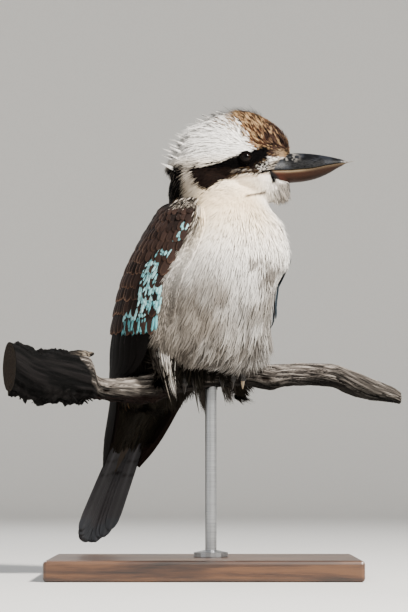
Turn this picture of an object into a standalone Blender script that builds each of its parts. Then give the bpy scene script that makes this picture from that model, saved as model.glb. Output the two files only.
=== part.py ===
"""A laughing kookaburra at life size, perched on a cut length of dead branch above a plain display stand.

Metres, +Z up. The origin is the middle of the stand's underside. The branch runs along X, and the viewer
stands at -Y. The bird's body is turned half way from +X to the viewer, and its head looks along +X.
"""

import math
import random

import bmesh
import bpy
from mathutils import Matrix, Vector

MM = 0.001
GAP = 0.3 * MM  # clearance between solids that touch
FLAT_ANGLE = math.radians(0.7)  # faces that turn less than this count as one flat
SHARP_ANGLE = math.radians(40)

# The stand and the place of the bird above it
BASE_SIZE = (270 * MM, 190 * MM, 18 * MM)
BASE_EDGE = 3 * MM
ROD_RADIUS = 5 * MM
ROD_X = 6 * MM
FLANGE_RADIUS = 15 * MM
FLANGE_HEIGHT = 4 * MM
PERCH_TOP = 184 * MM  # height of the branch's upper side under the feet
BODY_X = -12.8 * MM  # the body's own origin, on the perch
BODY_Y = 0.0
BODY_TURN = math.radians(-45)  # from +X towards the viewer

# The branch: place along X, height of its middle, radius, in millimetres
PERCH_ROWS = (
    (-166, 181.5, 21.8),
    (-149, 175.2, 20.9),
    (-127, 173.4, 20.5),
    (-107, 173.5, 19.6),
    (-99, 172.3, 17.7),
    (-94, 165.4, 11.4),
    (-82, 163.1, 10.0),
    (-60, 163.6, 12.0),
    (-43, 166.6, 13.7),
    (-25, 171.1, 11.7),
    (-4, 174.0, 10.0),
    (36, 177.0, 9.2),
    (58, 176.1, 11.5),
    (72, 178.0, 10.1),
    (113, 178.2, 10.8),
    (131, 172.0, 11.2),
    (149, 166.3, 10.0),
    (168, 161.6, 7.4),
    (176, 158.6, 5.5),
)
PERCH_YAW = math.tan(math.radians(20))  # the left end is nearer the viewer
PERCH_Y = -4 * MM
PERCH_SIDES = 10
PERCH_STEP = 11 * MM
SNAG_ROOT = Vector((-117 * MM, -46 * MM, 187 * MM))
SNAG_TIP = Vector((-95 * MM, -40 * MM, 194 * MM))

# The trunk from tail root to neck: place, forward, up, lean of the spine in degrees, then the reach to the
# back, to the breast and to each side, in millimetres in the body's own frame
TRUNK_ROWS = (
    (0, -61, -29.5, 60, 9, 9, 22),
    (1, -50, -17.5, 60, 17, 16, 34),
    (2, -36, -4, 60, 30, 20, 44),
    (3, -22, 14, 56, 42, 24, 55),
    (4, -4, 34, 62, 56, 68, 64),
    (5, 6, 58, 76, 63, 77, 63),
    (6, 15, 80, 82, 63, 79, 62),
    (7, 24, 102, 87, 58, 76, 58),
    (8, 30, 122, 90, 50, 64, 50),
    (9, 32, 140, 90, 42, 50, 43),
    (10, 32, 158, 88, 42, 40, 42),
    (11, 30, 174, 85, 38, 34, 36),
)
BACK_FULLNESS = 2.1  # superellipse exponents of the two halves of a section
BREAST_FULLNESS = 2.45
TRUNK_SIDES = 24
NECK_START = 8.0
TRUNK_STEPS_PER_ROW = 2

# The head: place along its own axis, top, bottom and half width, in millimetres about its middle
HEAD_AT = Vector((21.1 * MM, -24.6 * MM, 366.8 * MM))
HEAD_TURN = math.radians(-10)
HEAD_ROWS = (
    (-52, 0, -8, 6),
    (-48, 10, -22, 18),
    (-38, 21, -34, 29),
    (-25, 31, -40, 35),
    (-11, 37, -42, 38),
    (2, 40, -42, 38.5),
    (15, 39.5, -42, 36),
    (28, 35.5, -41, 30.5),
    (38, 29.5, -40, 22.5),
    (46, 22.5, -38, 15),
    (52, 13.5, -34, 10.5),
    (55, 4, -26, 6),
)
HEAD_FULLNESS = 2.25
HEAD_SIDES = 24
EYE_RADIUS = 6.2 * MM
EYE_AT = (20.5, 31, -5)  # along, out to the side and up from the head's middle, in millimetres
LID_RADIUS = 1.3 * MM

# The bill: place along the head's axis, heights of ridge, mouth line and keel, half widths above and below
BILL_ROWS = (
    (34, 1.6, -14.0, -22.4, 14.0, 13.0),
    (44, 2.0, -14.0, -23.4, 13.4, 12.4),
    (55, 2.0, -13.6, -23.8, 12.2, 11.0),
    (66, 1.8, -12.8, -23.0, 10.6, 9.4),
    (77, 0.6, -11.6, -20.8, 8.8, 7.6),
    (88, -1.4, -9.2, -16.4, 6.6, 5.4),
    (98, -3.8, -7.6, -10.8, 4.2, 3.2),
    (104, -4.9, -6.9, -8.6, 2.6, 1.6),
)
BILL_TIP = (110, -6.2, -1.8)
BILL_SIDES = 10
NOSTRIL_AT = (56, 9.0, -3.8)
NOSTRIL_SIZE = (3.6 * MM, 1.6 * MM, 1.1 * MM)

# A folded wing as a sheet round the body: height, forward place of its centre, radius, and the angles of its
# rear and front edges from the spine line, in millimetres and degrees
WING_ROWS = (
    (-90, -82, 21.0, 40, 76),
    (-72, -72, 27.0, 30, 86),
    (-50, -54, 35.0, 18, 80),
    (-28, -38, 43.5, 14, 76),
    (-13, -24, 53.5, 13, 73),
    (-2, -14, 60.0, 12, 99),
    (16, -4, 67.0, 12, 108),
    (42, 4, 69.5, 14, 108),
    (69, 12, 69.0, 18, 108),
    (92, 21, 66.0, 24, 112),
    (112, 28, 60.0, 33, 115),
    (128, 31, 52.5, 48, 115),
    (140, 31, 45.5, 66, 112),
)
WING_TOP = 140
WING_TIP = -80
WING_THICKNESS = 10 * MM  # before the trunk is cut out of it
WING_TIP_THICKNESS = 2.4 * MM
WING_STEPS = 12
WING_COLUMNS = 7

# Feathers of a wing, tier by tier from the tip up: count, shares of the wing's front and rear feather, then
# in millimetres the heights of the root, of the front tip and of the rear tip, and the half width
WING_TIERS = {
    "primary": (4, 0.16, 0.60, 14, -88, -48, 7.6),
    "secondary": (5, 0.14, 0.80, 52, -20, 0, 11.0),
    "tertial": (2, 0.78, 0.92, 76, 12, 2, 9.6),
    "greater covert": (6, 0.11, 0.89, 66, 22, 28, 10.4),
    "median covert": (5, 0.11, 0.89, 88, 49, 53, 11.6),
    "lesser covert": (5, 0.12, 0.88, 114, 76, 79, 11.0),
    "shoulder covert": (4, 0.14, 0.86, 136, 104, 106, 10.6),
}
LONG_TIERS = ("primary", "secondary", "tertial")
VANE_THICKNESS = 0.75 * MM
VANE_SINK = 2.6 * MM  # how deep a vane's root lies under the wing's outer face
VANE_RISE = 1.3 * MM  # how far its tip stands off that face
WING_BED = 1.1 * MM  # how deep the slab that carries the vanes lies under the same face
VANE_TILT = 0.12  # each vane leans on its neighbour
FLIGHT_OUTLINE = (0.6, 1.0, 0.9, 0.35)  # half widths from root to tip
COVERT_OUTLINE = (0.8, 1.0, 0.45)

# The tail: from its root at the trunk's end, in millimetres in the body's own frame
TAIL_ROOT = (-61.5, -30.4)
TAIL_LEAN = math.radians(60.5)
TAIL_CORE = ((0, 21.5, 8.6), (20, 21, 5.6), (55, 17, 3.0), (84, 11, 1.6))
TAIL_FEATHERS = 12
TAIL_SPREAD = 3.1  # between the middles of neighbouring feathers at their tips
TAIL_LENGTHS = (143, 143, 142, 140, 136, 130)  # from the middle pair outwards
TAIL_HALF_WIDTH = 8.2
TAIL_TILT = 0.2
TAIL_COVERTS = (5, 4)  # in the first row under the tail and over it
TAIL_COVERT_LENGTH = 34

# Locks: length and half width, in millimetres
CREST_ROWS = (27, 12, -4, -19, -32, -42)  # places along the head where each row has its roots
CREST_TURN = 24  # degrees between the roots of a row
CREST_REACH = 60  # degrees to each side that a row covers
CREST_LOCK = (17, 5.2)
SKIRT_HEIGHTS = (4, 14, 25)  # of the rows of roots above the perch, in millimetres
SKIRT_COUNT = 10
SKIRT_REACH = 80  # degrees from the breast line to each side
SKIRT_LOCK = (20, 7.0)
THIGH_LOCKS = 4
THIGH_LOCK = (24, 4.4)
LOCK_THICKNESS = 0.9 * MM
LOCK_OUTLINE = (0.8, 1.0, 0.22)
LOCK_SINK = 1.5 * MM
CLEARANCE = 0.9 * MM  # moved along the corners' normals, which leaves about the gap on the faces

# Thighs and feet
THIGH_AT = (13, 46)  # forward and out to each side, in millimetres in the body's own frame
THIGH_ROWS = ((34, 2), (26, 6), (12, 9.5), (-4, 9.5), (-16, 7.5), (-26, 4), (-31, 1.2))
THIGH_LIFT = {"right": 13, "left": 0}  # the right one is tucked up
FOOT_X = (-17 * MM, 25 * MM)  # right foot and left foot along the branch
TOE_RADIUS = 3.3 * MM
TOE_SPREAD = (-9 * MM, 0.0, 9 * MM)
CLAW_LENGTH = 9 * MM
TARSUS_RADIUS = 4.2 * MM
TARSUS_HEIGHT = 22 * MM

SIDES = {"right": -1, "left": 1}


def eased(rows, place):
    """The values at a place along the rows, on one smooth curve through them."""
    place = min(max(place, rows[0][0]), rows[-1][0])
    after = next(i for i in range(1, len(rows)) if place <= rows[i][0])
    low, high = rows[after - 1], rows[after]
    before, beyond = rows[max(after - 2, 0)], rows[min(after + 1, len(rows) - 1)]
    span = high[0] - low[0]
    t = (place - low[0]) / span
    values = []
    for column in range(1, len(low)):
        slope_low = (high[column] - before[column]) / (high[0] - before[0]) * span
        slope_high = (beyond[column] - low[column]) / (beyond[0] - low[0]) * span
        step = high[column] - low[column]
        values.append(
            low[column]
            + t * slope_low
            + t * t * (3 * step - 2 * slope_low - slope_high)
            + t * t * t * (slope_low + slope_high - 2 * step)
        )
    return values


def bird(forward, left, up):
    """A point of the body's own frame, given in millimetres, in the world."""
    flat = Matrix.Rotation(BODY_TURN, 3, "Z") @ Vector((forward, left, 0))
    return Vector((BODY_X, BODY_Y, PERCH_TOP)) + MM * (flat + Vector((0, 0, up)))


def of_head(along, left, up):
    """A point of the head's own frame, given in millimetres, in the world."""
    return HEAD_AT + MM * (Matrix.Rotation(HEAD_TURN, 3, "Z") @ Vector((along, left, up)))


def superellipse(angle, fullness):
    """Cosine and sine of the angle, pushed out towards a rounded square as fullness rises above 2."""
    c, s = math.cos(angle), math.sin(angle)
    stretch = (abs(c) ** fullness + abs(s) ** fullness) ** (-1 / fullness)
    return c * stretch, s * stretch


def material(name, colour, roughness, metallic=0.0):
    finish = bpy.data.materials.new(name)
    finish.use_nodes = True
    shader = finish.node_tree.nodes["Principled BSDF"]
    shader.inputs["Base Color"].default_value = (*colour, 1)
    shader.inputs["Roughness"].default_value = roughness
    shader.inputs["Metallic"].default_value = metallic
    return finish


def solid(name, points, faces, finish=None):
    """A mesh object with its faces turned outwards."""
    mesh = bpy.data.meshes.new(name)
    mesh.from_pydata([tuple(p) for p in points], [], faces)
    shell = bmesh.new()
    shell.from_mesh(mesh)
    bmesh.ops.recalc_face_normals(shell, faces=shell.faces)
    shell.to_mesh(mesh)
    shell.free()
    if finish:
        mesh.materials.append(finish)
    made = bpy.data.objects.new(name, mesh)
    bpy.context.scene.collection.objects.link(made)
    return made


def loft(name, rings, finish=None):
    """A closed solid over rings that have the same number of points, each end closed by a fan."""
    count = len(rings[0])
    points = [p for ring in rings for p in ring]
    faces = []
    for i in range(len(rings) - 1):
        for k in range(count):
            a, b = i * count + k, i * count + (k + 1) % count
            faces.append((a, b, b + count))
            faces.append((a, b + count, a + count))
    for start in (0, (len(rings) - 1) * count):
        ring = points[start : start + count]
        points.append(sum(ring, Vector()) / count)
        faces.extend((start + k, start + (k + 1) % count, len(points) - 1) for k in range(count))
    return solid(name, points, faces, finish)


def tube(name, path, radii, sides, finish=None):
    """A round solid along a path, which may taper."""
    rings = []
    for i, (point, radius) in enumerate(zip(path, radii)):
        ahead = path[min(i + 1, len(path) - 1)] - path[max(i - 1, 0)]
        across = ahead.cross(Vector((0.13, 0.97, 0.2))).normalized()
        other = ahead.cross(across).normalized()
        turns = [2 * math.pi * k / sides for k in range(sides)]
        rings.append([point + radius * (math.cos(a) * across + math.sin(a) * other) for a in turns])
    return loft(name, rings, finish)


def blade(middles, outward, half_widths, thickness, tilt=0.0):
    """A closed, flat feather or lock along its middles, split into triangles alike on both faces.

    Outward is the way that the upper face looks at each middle, and tilt leans that face across the blade.
    """
    points, faces = [], []
    last = len(middles) - 1
    for i, (middle, up, half) in enumerate(zip(middles, outward, half_widths)):
        ahead = middles[min(i + 1, last)] - middles[max(i - 1, 0)]
        across = ahead.cross(up).normalized()
        rise = across.cross(ahead).normalized()
        thick = thickness * (0.7 if i == last else 1.0)
        for face in (0.5, -0.5):
            for place in (-1, 1):
                points.append(middle + place * half * across + (tilt * place * half + face * thick) * rise)
    for i in range(last):
        low, high = 4 * i, 4 * (i + 1)
        for start, end in ((0, 1), (2, 3), (0, 2), (1, 3)):
            faces.append((low + start, low + end, high + end))
            faces.append((low + start, high + end, high + start))
    for low in (0, 4 * last):
        faces.append((low, low + 1, low + 3))
        faces.append((low, low + 3, low + 2))
    return solid("blade", points, faces)


def vane(place, root, tip, half, outline, lifts, tilt=0.0):
    """A blade on a surface: place(u, v, lift) is a point of it, and root and tip are pairs of u and v."""
    middles, outward = [], []
    for i in range(len(outline)):
        share = i / (len(outline) - 1)
        u = root[0] + (tip[0] - root[0]) * share
        v = root[1] + (tip[1] - root[1]) * share
        lift = lifts[0] + (lifts[1] - lifts[0]) * share
        middles.append(place(u, v, lift))
        outward.append(place(u, v, lift + MM) - place(u, v, lift))
    return blade(middles, outward, [half * MM * w for w in outline], VANE_THICKNESS, tilt)


def lock(root, along, outward, length, half, rise=0.25, droop=0.2):
    """A flat, tapered lock from a root on a surface, which rises off it and bends back over it."""
    middles = []
    for share in (0, 0.5, 1):
        lift = -LOCK_SINK + length * MM * (rise * share - droop * share * share)
        middles.append(root + along * length * MM * share + outward * lift)
    return blade(middles, [outward] * 3, [half * MM * w for w in LOCK_OUTLINE], LOCK_THICKNESS)


def applied(target, operation, others, whole=True):
    """Runs one Boolean of the target with the others and removes them.

    Where the target is a whole node, it keeps only its largest closed surface.
    """
    group = bpy.data.collections.new("tools")
    bpy.context.scene.collection.children.link(group)
    for other in others:
        group.objects.link(other)
    step = target.modifiers.new("join", "BOOLEAN")
    step.operation = operation
    step.solver = "MANIFOLD"
    step.operand_type = "COLLECTION"
    step.collection = group
    evaluated = target.evaluated_get(bpy.context.evaluated_depsgraph_get())
    result = bpy.data.meshes.new_from_object(evaluated)
    target.modifiers.clear()
    finish = list(target.data.materials)
    target.data = result
    result.materials.clear()
    for slot in finish:
        result.materials.append(slot)
    for other in others:
        bpy.data.objects.remove(other)
    bpy.data.collections.remove(group)
    if whole:
        keep_largest(result)
    return target


def grown(name, by):
    """A copy of a node that stands out by a margin on all sides, to cut its neighbours clear of it."""
    source = bpy.data.objects[name]
    mesh = source.data.copy()
    for vertex, normal in zip(mesh.vertices, [Vector(n.vector) for n in mesh.vertex_normals]):
        vertex.co += normal * by
    copy = bpy.data.objects.new("cut", mesh)
    bpy.context.scene.collection.objects.link(copy)
    return copy


def trimmed(locks, cutters):
    """Joins loose locks into one object and cuts them clear of what they would cross."""
    bundle = applied(locks[0], "UNION", locks[1:], whole=False)
    return applied(bundle, "DIFFERENCE", cutters, whole=False)


def keep_largest(mesh):
    """Leaves only the closed surface with the largest volume."""
    shell = bmesh.new()
    shell.from_mesh(mesh)
    bmesh.ops.triangulate(shell, faces=shell.faces)
    unseen, groups = set(shell.faces), []
    while unseen:
        group, edge = set(), [next(iter(unseen))]
        while edge:
            face = edge.pop()
            if face in unseen:
                unseen.remove(face)
                group.add(face)
                edge.extend(near for side in face.edges for near in side.link_faces if near in unseen)
        groups.append(group)
    groups.sort(key=lambda g: sum(f.verts[0].co.dot(f.verts[1].co.cross(f.verts[2].co)) for f in g))
    scraps = [face for group in groups[:-1] for face in group]
    bmesh.ops.delete(shell, geom=scraps, context="FACES")
    shell.to_mesh(mesh)
    shell.free()


def smooth(made):
    """Merges the flat scraps that the Booleans leave, and shades the node smooth."""
    shell = bmesh.new()
    shell.from_mesh(made.data)
    bmesh.ops.dissolve_limit(shell, angle_limit=FLAT_ANGLE, verts=shell.verts, edges=shell.edges)
    bmesh.ops.triangulate(shell, faces=shell.faces)
    shell.to_mesh(made.data)
    shell.free()
    made.data.shade_smooth()
    made.data.set_sharp_from_angle(angle=SHARP_ANGLE)


def perch_middle(x):
    """Centre and radius of the branch at a place along X, in metres."""
    height, radius = eased(PERCH_ROWS, x / MM)
    return Vector((x, PERCH_Y + x * PERCH_YAW, height * MM)), radius * MM


def perch_solid(name, grow=0.0, finish=None):
    start, end = PERCH_ROWS[0][0] * MM, PERCH_ROWS[-1][0] * MM
    count = round((end - start) / PERCH_STEP)
    axis = Vector((1, PERCH_YAW, 0)).normalized()
    flat = axis.cross(Vector((0, 0, 1)))
    rings = []
    for i in range(count + 1):
        x = start + (end - start) * i / count
        middle, radius = perch_middle(x)
        ring = []
        for k in range(PERCH_SIDES):
            a = 2 * math.pi * k / PERCH_SIDES
            side = math.cos(a) * flat + Vector((0, 0, math.sin(a)))
            ring.append(middle + (radius + grow) * side)
        rings.append(ring)
    if grow:
        rings[0] = [p - axis * grow for p in rings[0]]
        rings[-1] = [p + axis * grow for p in rings[-1]]
    return loft(name, rings, finish)


def make_perch(finish):
    perch = perch_solid("perch_branch", finish=finish)
    snag = tube("snag", [SNAG_ROOT, SNAG_ROOT.lerp(SNAG_TIP, 0.6), SNAG_TIP], [8 * MM, 5 * MM, 0.8 * MM], 6)
    smooth(applied(perch, "UNION", [snag]))


def make_stand(base_finish, rod_finish):
    width, depth, height = BASE_SIZE
    mesh = bpy.data.meshes.new("stand_base")
    block = bmesh.new()
    bmesh.ops.create_cube(block, size=1)
    bmesh.ops.scale(block, vec=BASE_SIZE, verts=block.verts)
    bmesh.ops.translate(block, vec=(0, 0, height / 2), verts=block.verts)
    block.to_mesh(mesh)
    block.free()
    mesh.materials.append(base_finish)
    base = bpy.data.objects.new("stand_base", mesh)
    bpy.context.scene.collection.objects.link(base)
    edge = base.modifiers.new("edge", "BEVEL")
    edge.width = BASE_EDGE
    edge.segments = 2

    middle, radius = perch_middle(ROD_X)
    foot = height + GAP
    profile = (
        (foot, FLANGE_RADIUS),
        (foot + FLANGE_HEIGHT, FLANGE_RADIUS),
        (foot + FLANGE_HEIGHT + 2 * MM, ROD_RADIUS),
        (middle.z - radius / 2, ROD_RADIUS),
    )
    turns = [2 * math.pi * k / 20 for k in range(20)]
    rings = [
        [Vector((middle.x + r * math.cos(a), middle.y + r * math.sin(a), z)) for a in turns]
        for z, r in profile
    ]
    rod = loft("stand_rod", rings, rod_finish)
    smooth(applied(rod, "DIFFERENCE", [perch_solid("cut", GAP)]))


def trunk_ring(place, grow=0.0):
    forward, up, lean, back, breast, half = eased(TRUNK_ROWS, place)
    lean = math.radians(lean)
    ring = []
    for k in range(TRUNK_SIDES):
        angle = 2 * math.pi * k / TRUNK_SIDES
        fullness = BACK_FULLNESS if math.cos(angle) > 0 else BREAST_FULLNESS
        c, s = superellipse(angle, fullness)
        reach = c * ((back if c > 0 else breast) + grow / MM)
        side = s * (half + grow / MM)
        ring.append(bird(forward - reach * math.sin(lean), side, up + reach * math.cos(lean)))
    return ring


def trunk_part(name, start, end, grow=0.0, finish=None):
    count = round((end - start) * TRUNK_STEPS_PER_ROW)
    rings = [trunk_ring(start + (end - start) * i / count, grow) for i in range(count + 1)]
    return loft(name, rings, finish)


def head_solid(name, grow=0.0, finish=None):
    start, end = HEAD_ROWS[0][0], HEAD_ROWS[-1][0]
    steps = 16
    rings = []
    for i in range(steps + 1):
        # Rings crowd towards both ends, where the head rounds off
        along = (start + end) / 2 - (end - start) / 2 * math.cos(math.pi * (i + 0.5) / (steps + 1))
        top, bottom, half = eased(HEAD_ROWS, along)
        middle, reach = (top + bottom) / 2, (top - bottom) / 2
        ring = []
        for k in range(HEAD_SIDES):
            c, s = superellipse(2 * math.pi * k / HEAD_SIDES, HEAD_FULLNESS)
            ring.append(of_head(along, c * (half + grow / MM), middle + s * (reach + grow / MM)))
        rings.append(ring)
    return loft(name, rings, finish)


def ball(name, middle, radius, rows=8, columns=12, finish=None):
    """A sphere, or an ellipsoid where radius has three values."""
    size = Vector(radius) if isinstance(radius, tuple) else Vector((radius, radius, radius))
    rings = []
    for i in range(rows):
        tilt = math.pi * (i + 0.5) / rows
        ring = []
        for k in range(columns):
            turn = 2 * math.pi * k / columns
            unit = Vector((math.sin(tilt) * math.cos(turn), math.sin(tilt) * math.sin(turn), math.cos(tilt)))
            ring.append(middle + size * unit)
        rings.append(ring)
    return loft(name, rings, finish)


def head_surface(along, angle, lift=0.0):
    """A point of the head: place along it, angle from the crown, and metres off its surface."""
    top, bottom, half = eased(HEAD_ROWS, along)
    s, c = superellipse(angle, HEAD_FULLNESS)[::-1]
    middle, reach = (top + bottom) / 2, (top - bottom) / 2
    return of_head(along, s * (half + lift / MM), middle + c * (reach + lift / MM))


def crest_locks(draw):
    """The shaggy crown: rows of locks that lie backwards and rise a little more towards the nape."""
    backward = (of_head(-1, 0, 0) - of_head(0, 0, 0)).normalized()
    locks = []
    for row, along in enumerate(CREST_ROWS):
        reach = math.radians(CREST_REACH)
        count = round(2 * CREST_REACH / CREST_TURN)
        for k in range(count + 1):
            angle = -reach + 2 * reach * (k + 0.5 * (row % 2)) / count
            if angle > reach:
                continue
            angle += math.radians(draw.uniform(-3, 3))
            root = head_surface(along + draw.uniform(-2.5, 2.5), angle)
            out = (head_surface(along, angle, 2 * MM) - head_surface(along, angle)).normalized()
            tangent = (head_surface(along - 4, angle) - head_surface(along + 1, angle)).normalized()
            lie = (tangent + 0.35 * backward).normalized()
            length = CREST_LOCK[0] * draw.uniform(0.8, 1.15)
            rise = 0.3 + 0.12 * row / len(CREST_ROWS)
            locks.append(lock(root, lie, out, length, CREST_LOCK[1], rise))
    return locks


def make_head(finish, eye_finish):
    head = head_solid("head", finish=finish)
    crest = crest_locks(random.Random(3))
    lids, sockets = [], []
    for name, side in SIDES.items():
        along, out, up = EYE_AT
        middle = of_head(along, side * out, up)
        eye = ball("eye_" + name, middle, EYE_RADIUS, 8, 12, eye_finish)
        smooth(eye)
        sockets.append(ball("socket", middle, EYE_RADIUS + GAP, 8, 12))
        outward = (of_head(along + 1.5, side * (out + 10), up + 1) - middle).normalized()
        lids.append(lid_ring(middle, outward))
    applied(head, "UNION", lids)
    applied(head, "DIFFERENCE", sockets)
    applied(head, "UNION", [trimmed(crest, [trunk_part("cut", NECK_START, TRUNK_ROWS[-1][0], GAP)])])
    smooth(head)


def lid_ring(middle, outward):
    """The fold of skin round an eye, as a ring on the eyeball."""
    across = outward.cross(Vector((0, 0, 1))).normalized()
    upward = across.cross(outward).normalized()
    turns, sides = 10, 5
    rings = []
    for i in range(turns):
        a = 2 * math.pi * i / turns
        spoke = math.cos(a) * across + 0.86 * math.sin(a) * upward
        centre = middle + outward * EYE_RADIUS * 0.62 + spoke * EYE_RADIUS * 0.86
        corners = [2 * math.pi * k / sides for k in range(sides)]
        rings.append([centre + LID_RADIUS * (math.cos(b) * spoke + math.sin(b) * outward) for b in corners])
    points = [p for ring in rings for p in ring]
    faces = []
    for i in range(turns):
        for k in range(sides):
            low, high = i * sides, (i + 1) % turns * sides
            faces.append((low + k, low + (k + 1) % sides, high + (k + 1) % sides, high + k))
    return solid("lid", points, faces)


def bill_rings(upper, grow=0.0):
    """Half-oval sections above or below the mouth line."""
    rings = []
    for i in range(9):
        along = BILL_ROWS[0][0] + (BILL_ROWS[-1][0] - BILL_ROWS[0][0]) * i / 8
        ridge, mouth, keel, wide_above, wide_below = eased(BILL_ROWS, along)
        parting = GAP / MM / 2
        flat = mouth + parting if upper else mouth - parting
        height = ridge - flat + grow / MM if upper else keel - flat - grow / MM
        half = (wide_above if upper else wide_below) + grow / MM
        ring = []
        for k in range(BILL_SIDES):
            a = math.pi * k / (BILL_SIDES - 1)
            # The ridge is a little narrow above, and the keel rounder below
            lift = math.sin(a) ** (1.15 if upper else 0.9)
            ring.append(of_head(along, half * math.cos(a), flat + height * lift))
        rings.append(ring)
    return rings


def make_bill(upper_finish, lower_finish):
    for name, upper, finish in (("bill_upper", True, upper_finish), ("bill_lower", False, lower_finish)):
        rings = bill_rings(upper)
        if upper:
            along, high, low = BILL_TIP
            last = rings[-1]
            rings.append([of_head(along, 0, high).lerp(p, 0.12) + Vector((0, 0, low * MM / 2)) for p in last])
        bill = loft(name, rings, finish)
        cutters = [head_solid("cut", GAP)]
        if upper:
            for side in SIDES.values():
                along, out, up = NOSTRIL_AT
                cutters.append(ball("nostril", of_head(along, side * out, up), NOSTRIL_SIZE, 5, 8))
        smooth(applied(bill, "DIFFERENCE", cutters))


def wing_point(side, up, share, lift):
    """A point of a wing's sheet: share runs from the front edge to the rear one, and lift is outwards."""
    centre, radius, rear, front = eased(WING_ROWS, up)
    angle = math.radians(front + (rear - front) * share)
    reach = radius + lift / MM
    return bird(centre - reach * math.cos(angle), side * reach * math.sin(angle), up)


def wing_sheet(side):
    """The closed slab under the feathers."""
    rings = []
    for i in range(WING_STEPS + 1):
        share_down = i / WING_STEPS
        up = WING_TOP + (WING_TIP - WING_TOP) * share_down
        thick = WING_THICKNESS + (WING_TIP_THICKNESS - WING_THICKNESS) * min(1, share_down * 1.25)
        # The slab thins to rounded edges at front and rear
        outer, inner = [], []
        for k in range(WING_COLUMNS + 1):
            share = k / WING_COLUMNS
            rim = math.sin(math.pi * share) ** 0.35 if 0 < k < WING_COLUMNS else 0.25
            outer.append(wing_point(side, up, share, -WING_BED - (1 - rim) * thick / 2))
            inner.append(wing_point(side, up, share, -WING_BED - (1 + rim) * thick / 2))
        rings.append(outer + inner[::-1])
    return loft("wing_" + ("left" if side > 0 else "right"), rings)


def wing_feathers(side, draw):
    """Tiers of vanes, each of which covers the roots of the tier below it."""

    def place(up, share, lift):
        return wing_point(side, up, share, lift)

    feathers = []
    for tier, (count, front, rear, root, tip_front, tip_rear, half) in WING_TIERS.items():
        for k in range(count):
            share = k / (count - 1)
            across = front + (rear - front) * share
            tip = tip_front + (tip_rear - tip_front) * share + draw.uniform(-1.5, 1.5)
            feathers.append(
                vane(
                    place,
                    (root, across),
                    (tip, across + draw.uniform(-0.006, 0.006)),
                    half * draw.uniform(0.94, 1.04),
                    FLIGHT_OUTLINE if tier in LONG_TIERS else COVERT_OUTLINE,
                    (-VANE_SINK, VANE_RISE),
                    VANE_TILT * side,
                )
            )
    return feathers


def make_wings(finish):
    for side in SIDES.values():
        wing = wing_sheet(side)
        wing.data.materials.append(finish)
        applied(wing, "UNION", wing_feathers(side, random.Random(11)))
        cutters = [trunk_part("cut", 0, TRUNK_ROWS[-1][0], GAP), perch_solid("cut", GAP)]
        cutters.append(grown("thigh_" + ("left" if side > 0 else "right"), CLEARANCE))
        applied(wing, "DIFFERENCE", cutters)
        smooth(wing)


def tail_point(along, out, lift):
    """A point of the tail: millimetres along it from its root and out to the left, and metres up off it."""
    rise = lift / MM
    forward = TAIL_ROOT[0] - along * math.cos(TAIL_LEAN) - rise * math.sin(TAIL_LEAN)
    up = TAIL_ROOT[1] - along * math.sin(TAIL_LEAN) + rise * math.cos(TAIL_LEAN)
    return bird(forward, out, up)


def tail_feathers():
    """Six feathers a side, the outer ones under the inner, with the middle pair flat on top of them all."""
    feathers = []
    for k in range(TAIL_FEATHERS):
        pair = k // 2
        side = 1 if k % 2 else -1
        out = side * TAIL_SPREAD * (pair + 0.5)
        lift = 0.0
        if pair == 0:
            lift = 3.5 * MM if side > 0 else 2.6 * MM
        feathers.append(
            vane(
                tail_point,
                (6, out * 0.6),
                (TAIL_LENGTHS[pair], out),
                TAIL_HALF_WIDTH,
                FLIGHT_OUTLINE,
                (lift * 0.5, lift),
                TAIL_TILT * side if pair else 0.0,
            )
        )
    return feathers


def tail_coverts(draw):
    """Soft blades over the roots of the tail, above it and below."""
    coverts = []
    back = (tail_point(1, 0, 0) - tail_point(0, 0, 0)).normalized()
    above = (tail_point(0, 0, MM) - tail_point(0, 0, 0)).normalized()
    for count, face in zip(TAIL_COVERTS, (-1, 1)):
        for row, along in enumerate((6, 26)):
            half, thick = eased(TAIL_CORE, along)
            for k in range(count - row):
                out = half * 0.8 * (2 * (k + 0.5) / (count - row) - 1)
                root = tail_point(along, out, face * thick * 0.85 * MM)
                length = TAIL_COVERT_LENGTH * draw.uniform(0.85, 1.1)
                coverts.append(lock(root, back, face * above, length, 5.0, 0.02, 0.04))
    return coverts


def make_tail(finish):
    rings = []
    for along, half, thick in TAIL_CORE:
        ring = []
        for k in range(16):
            c, s = superellipse(2 * math.pi * k / 16, 2.6)
            ring.append(tail_point(along, half * c, thick * s * MM))
        rings.append(ring)
    tail = loft("tail", rings, finish)
    applied(tail, "UNION", tail_feathers() + tail_coverts(random.Random(5)))
    smooth(applied(tail, "DIFFERENCE", [grown("wing_" + name, CLEARANCE) for name in SIDES]))


def make_thighs(finish):
    forward, out = THIGH_AT
    for name, side in SIDES.items():
        rings = []
        turns = [2 * math.pi * k / 10 for k in range(10)]
        for up, radius in THIGH_ROWS:
            ring = []
            for a in turns:
                across = side * out + radius * math.sin(a)
                ring.append(bird(forward + radius * math.cos(a), across, up + THIGH_LIFT[name]))
            rings.append(ring)
        thigh = loft("thigh_" + name, rings, finish)
        applied(thigh, "UNION", thigh_locks(forward, side * out, THIGH_LIFT[name], random.Random(9)))
        cutters = [trunk_part("cut", 0, TRUNK_ROWS[-1][0], GAP), perch_solid("cut", GAP)]
        cutters += [grown(foot, CLEARANCE) for foot in ("foot_right", "foot_left")]
        smooth(applied(thigh, "DIFFERENCE", cutters))


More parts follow.
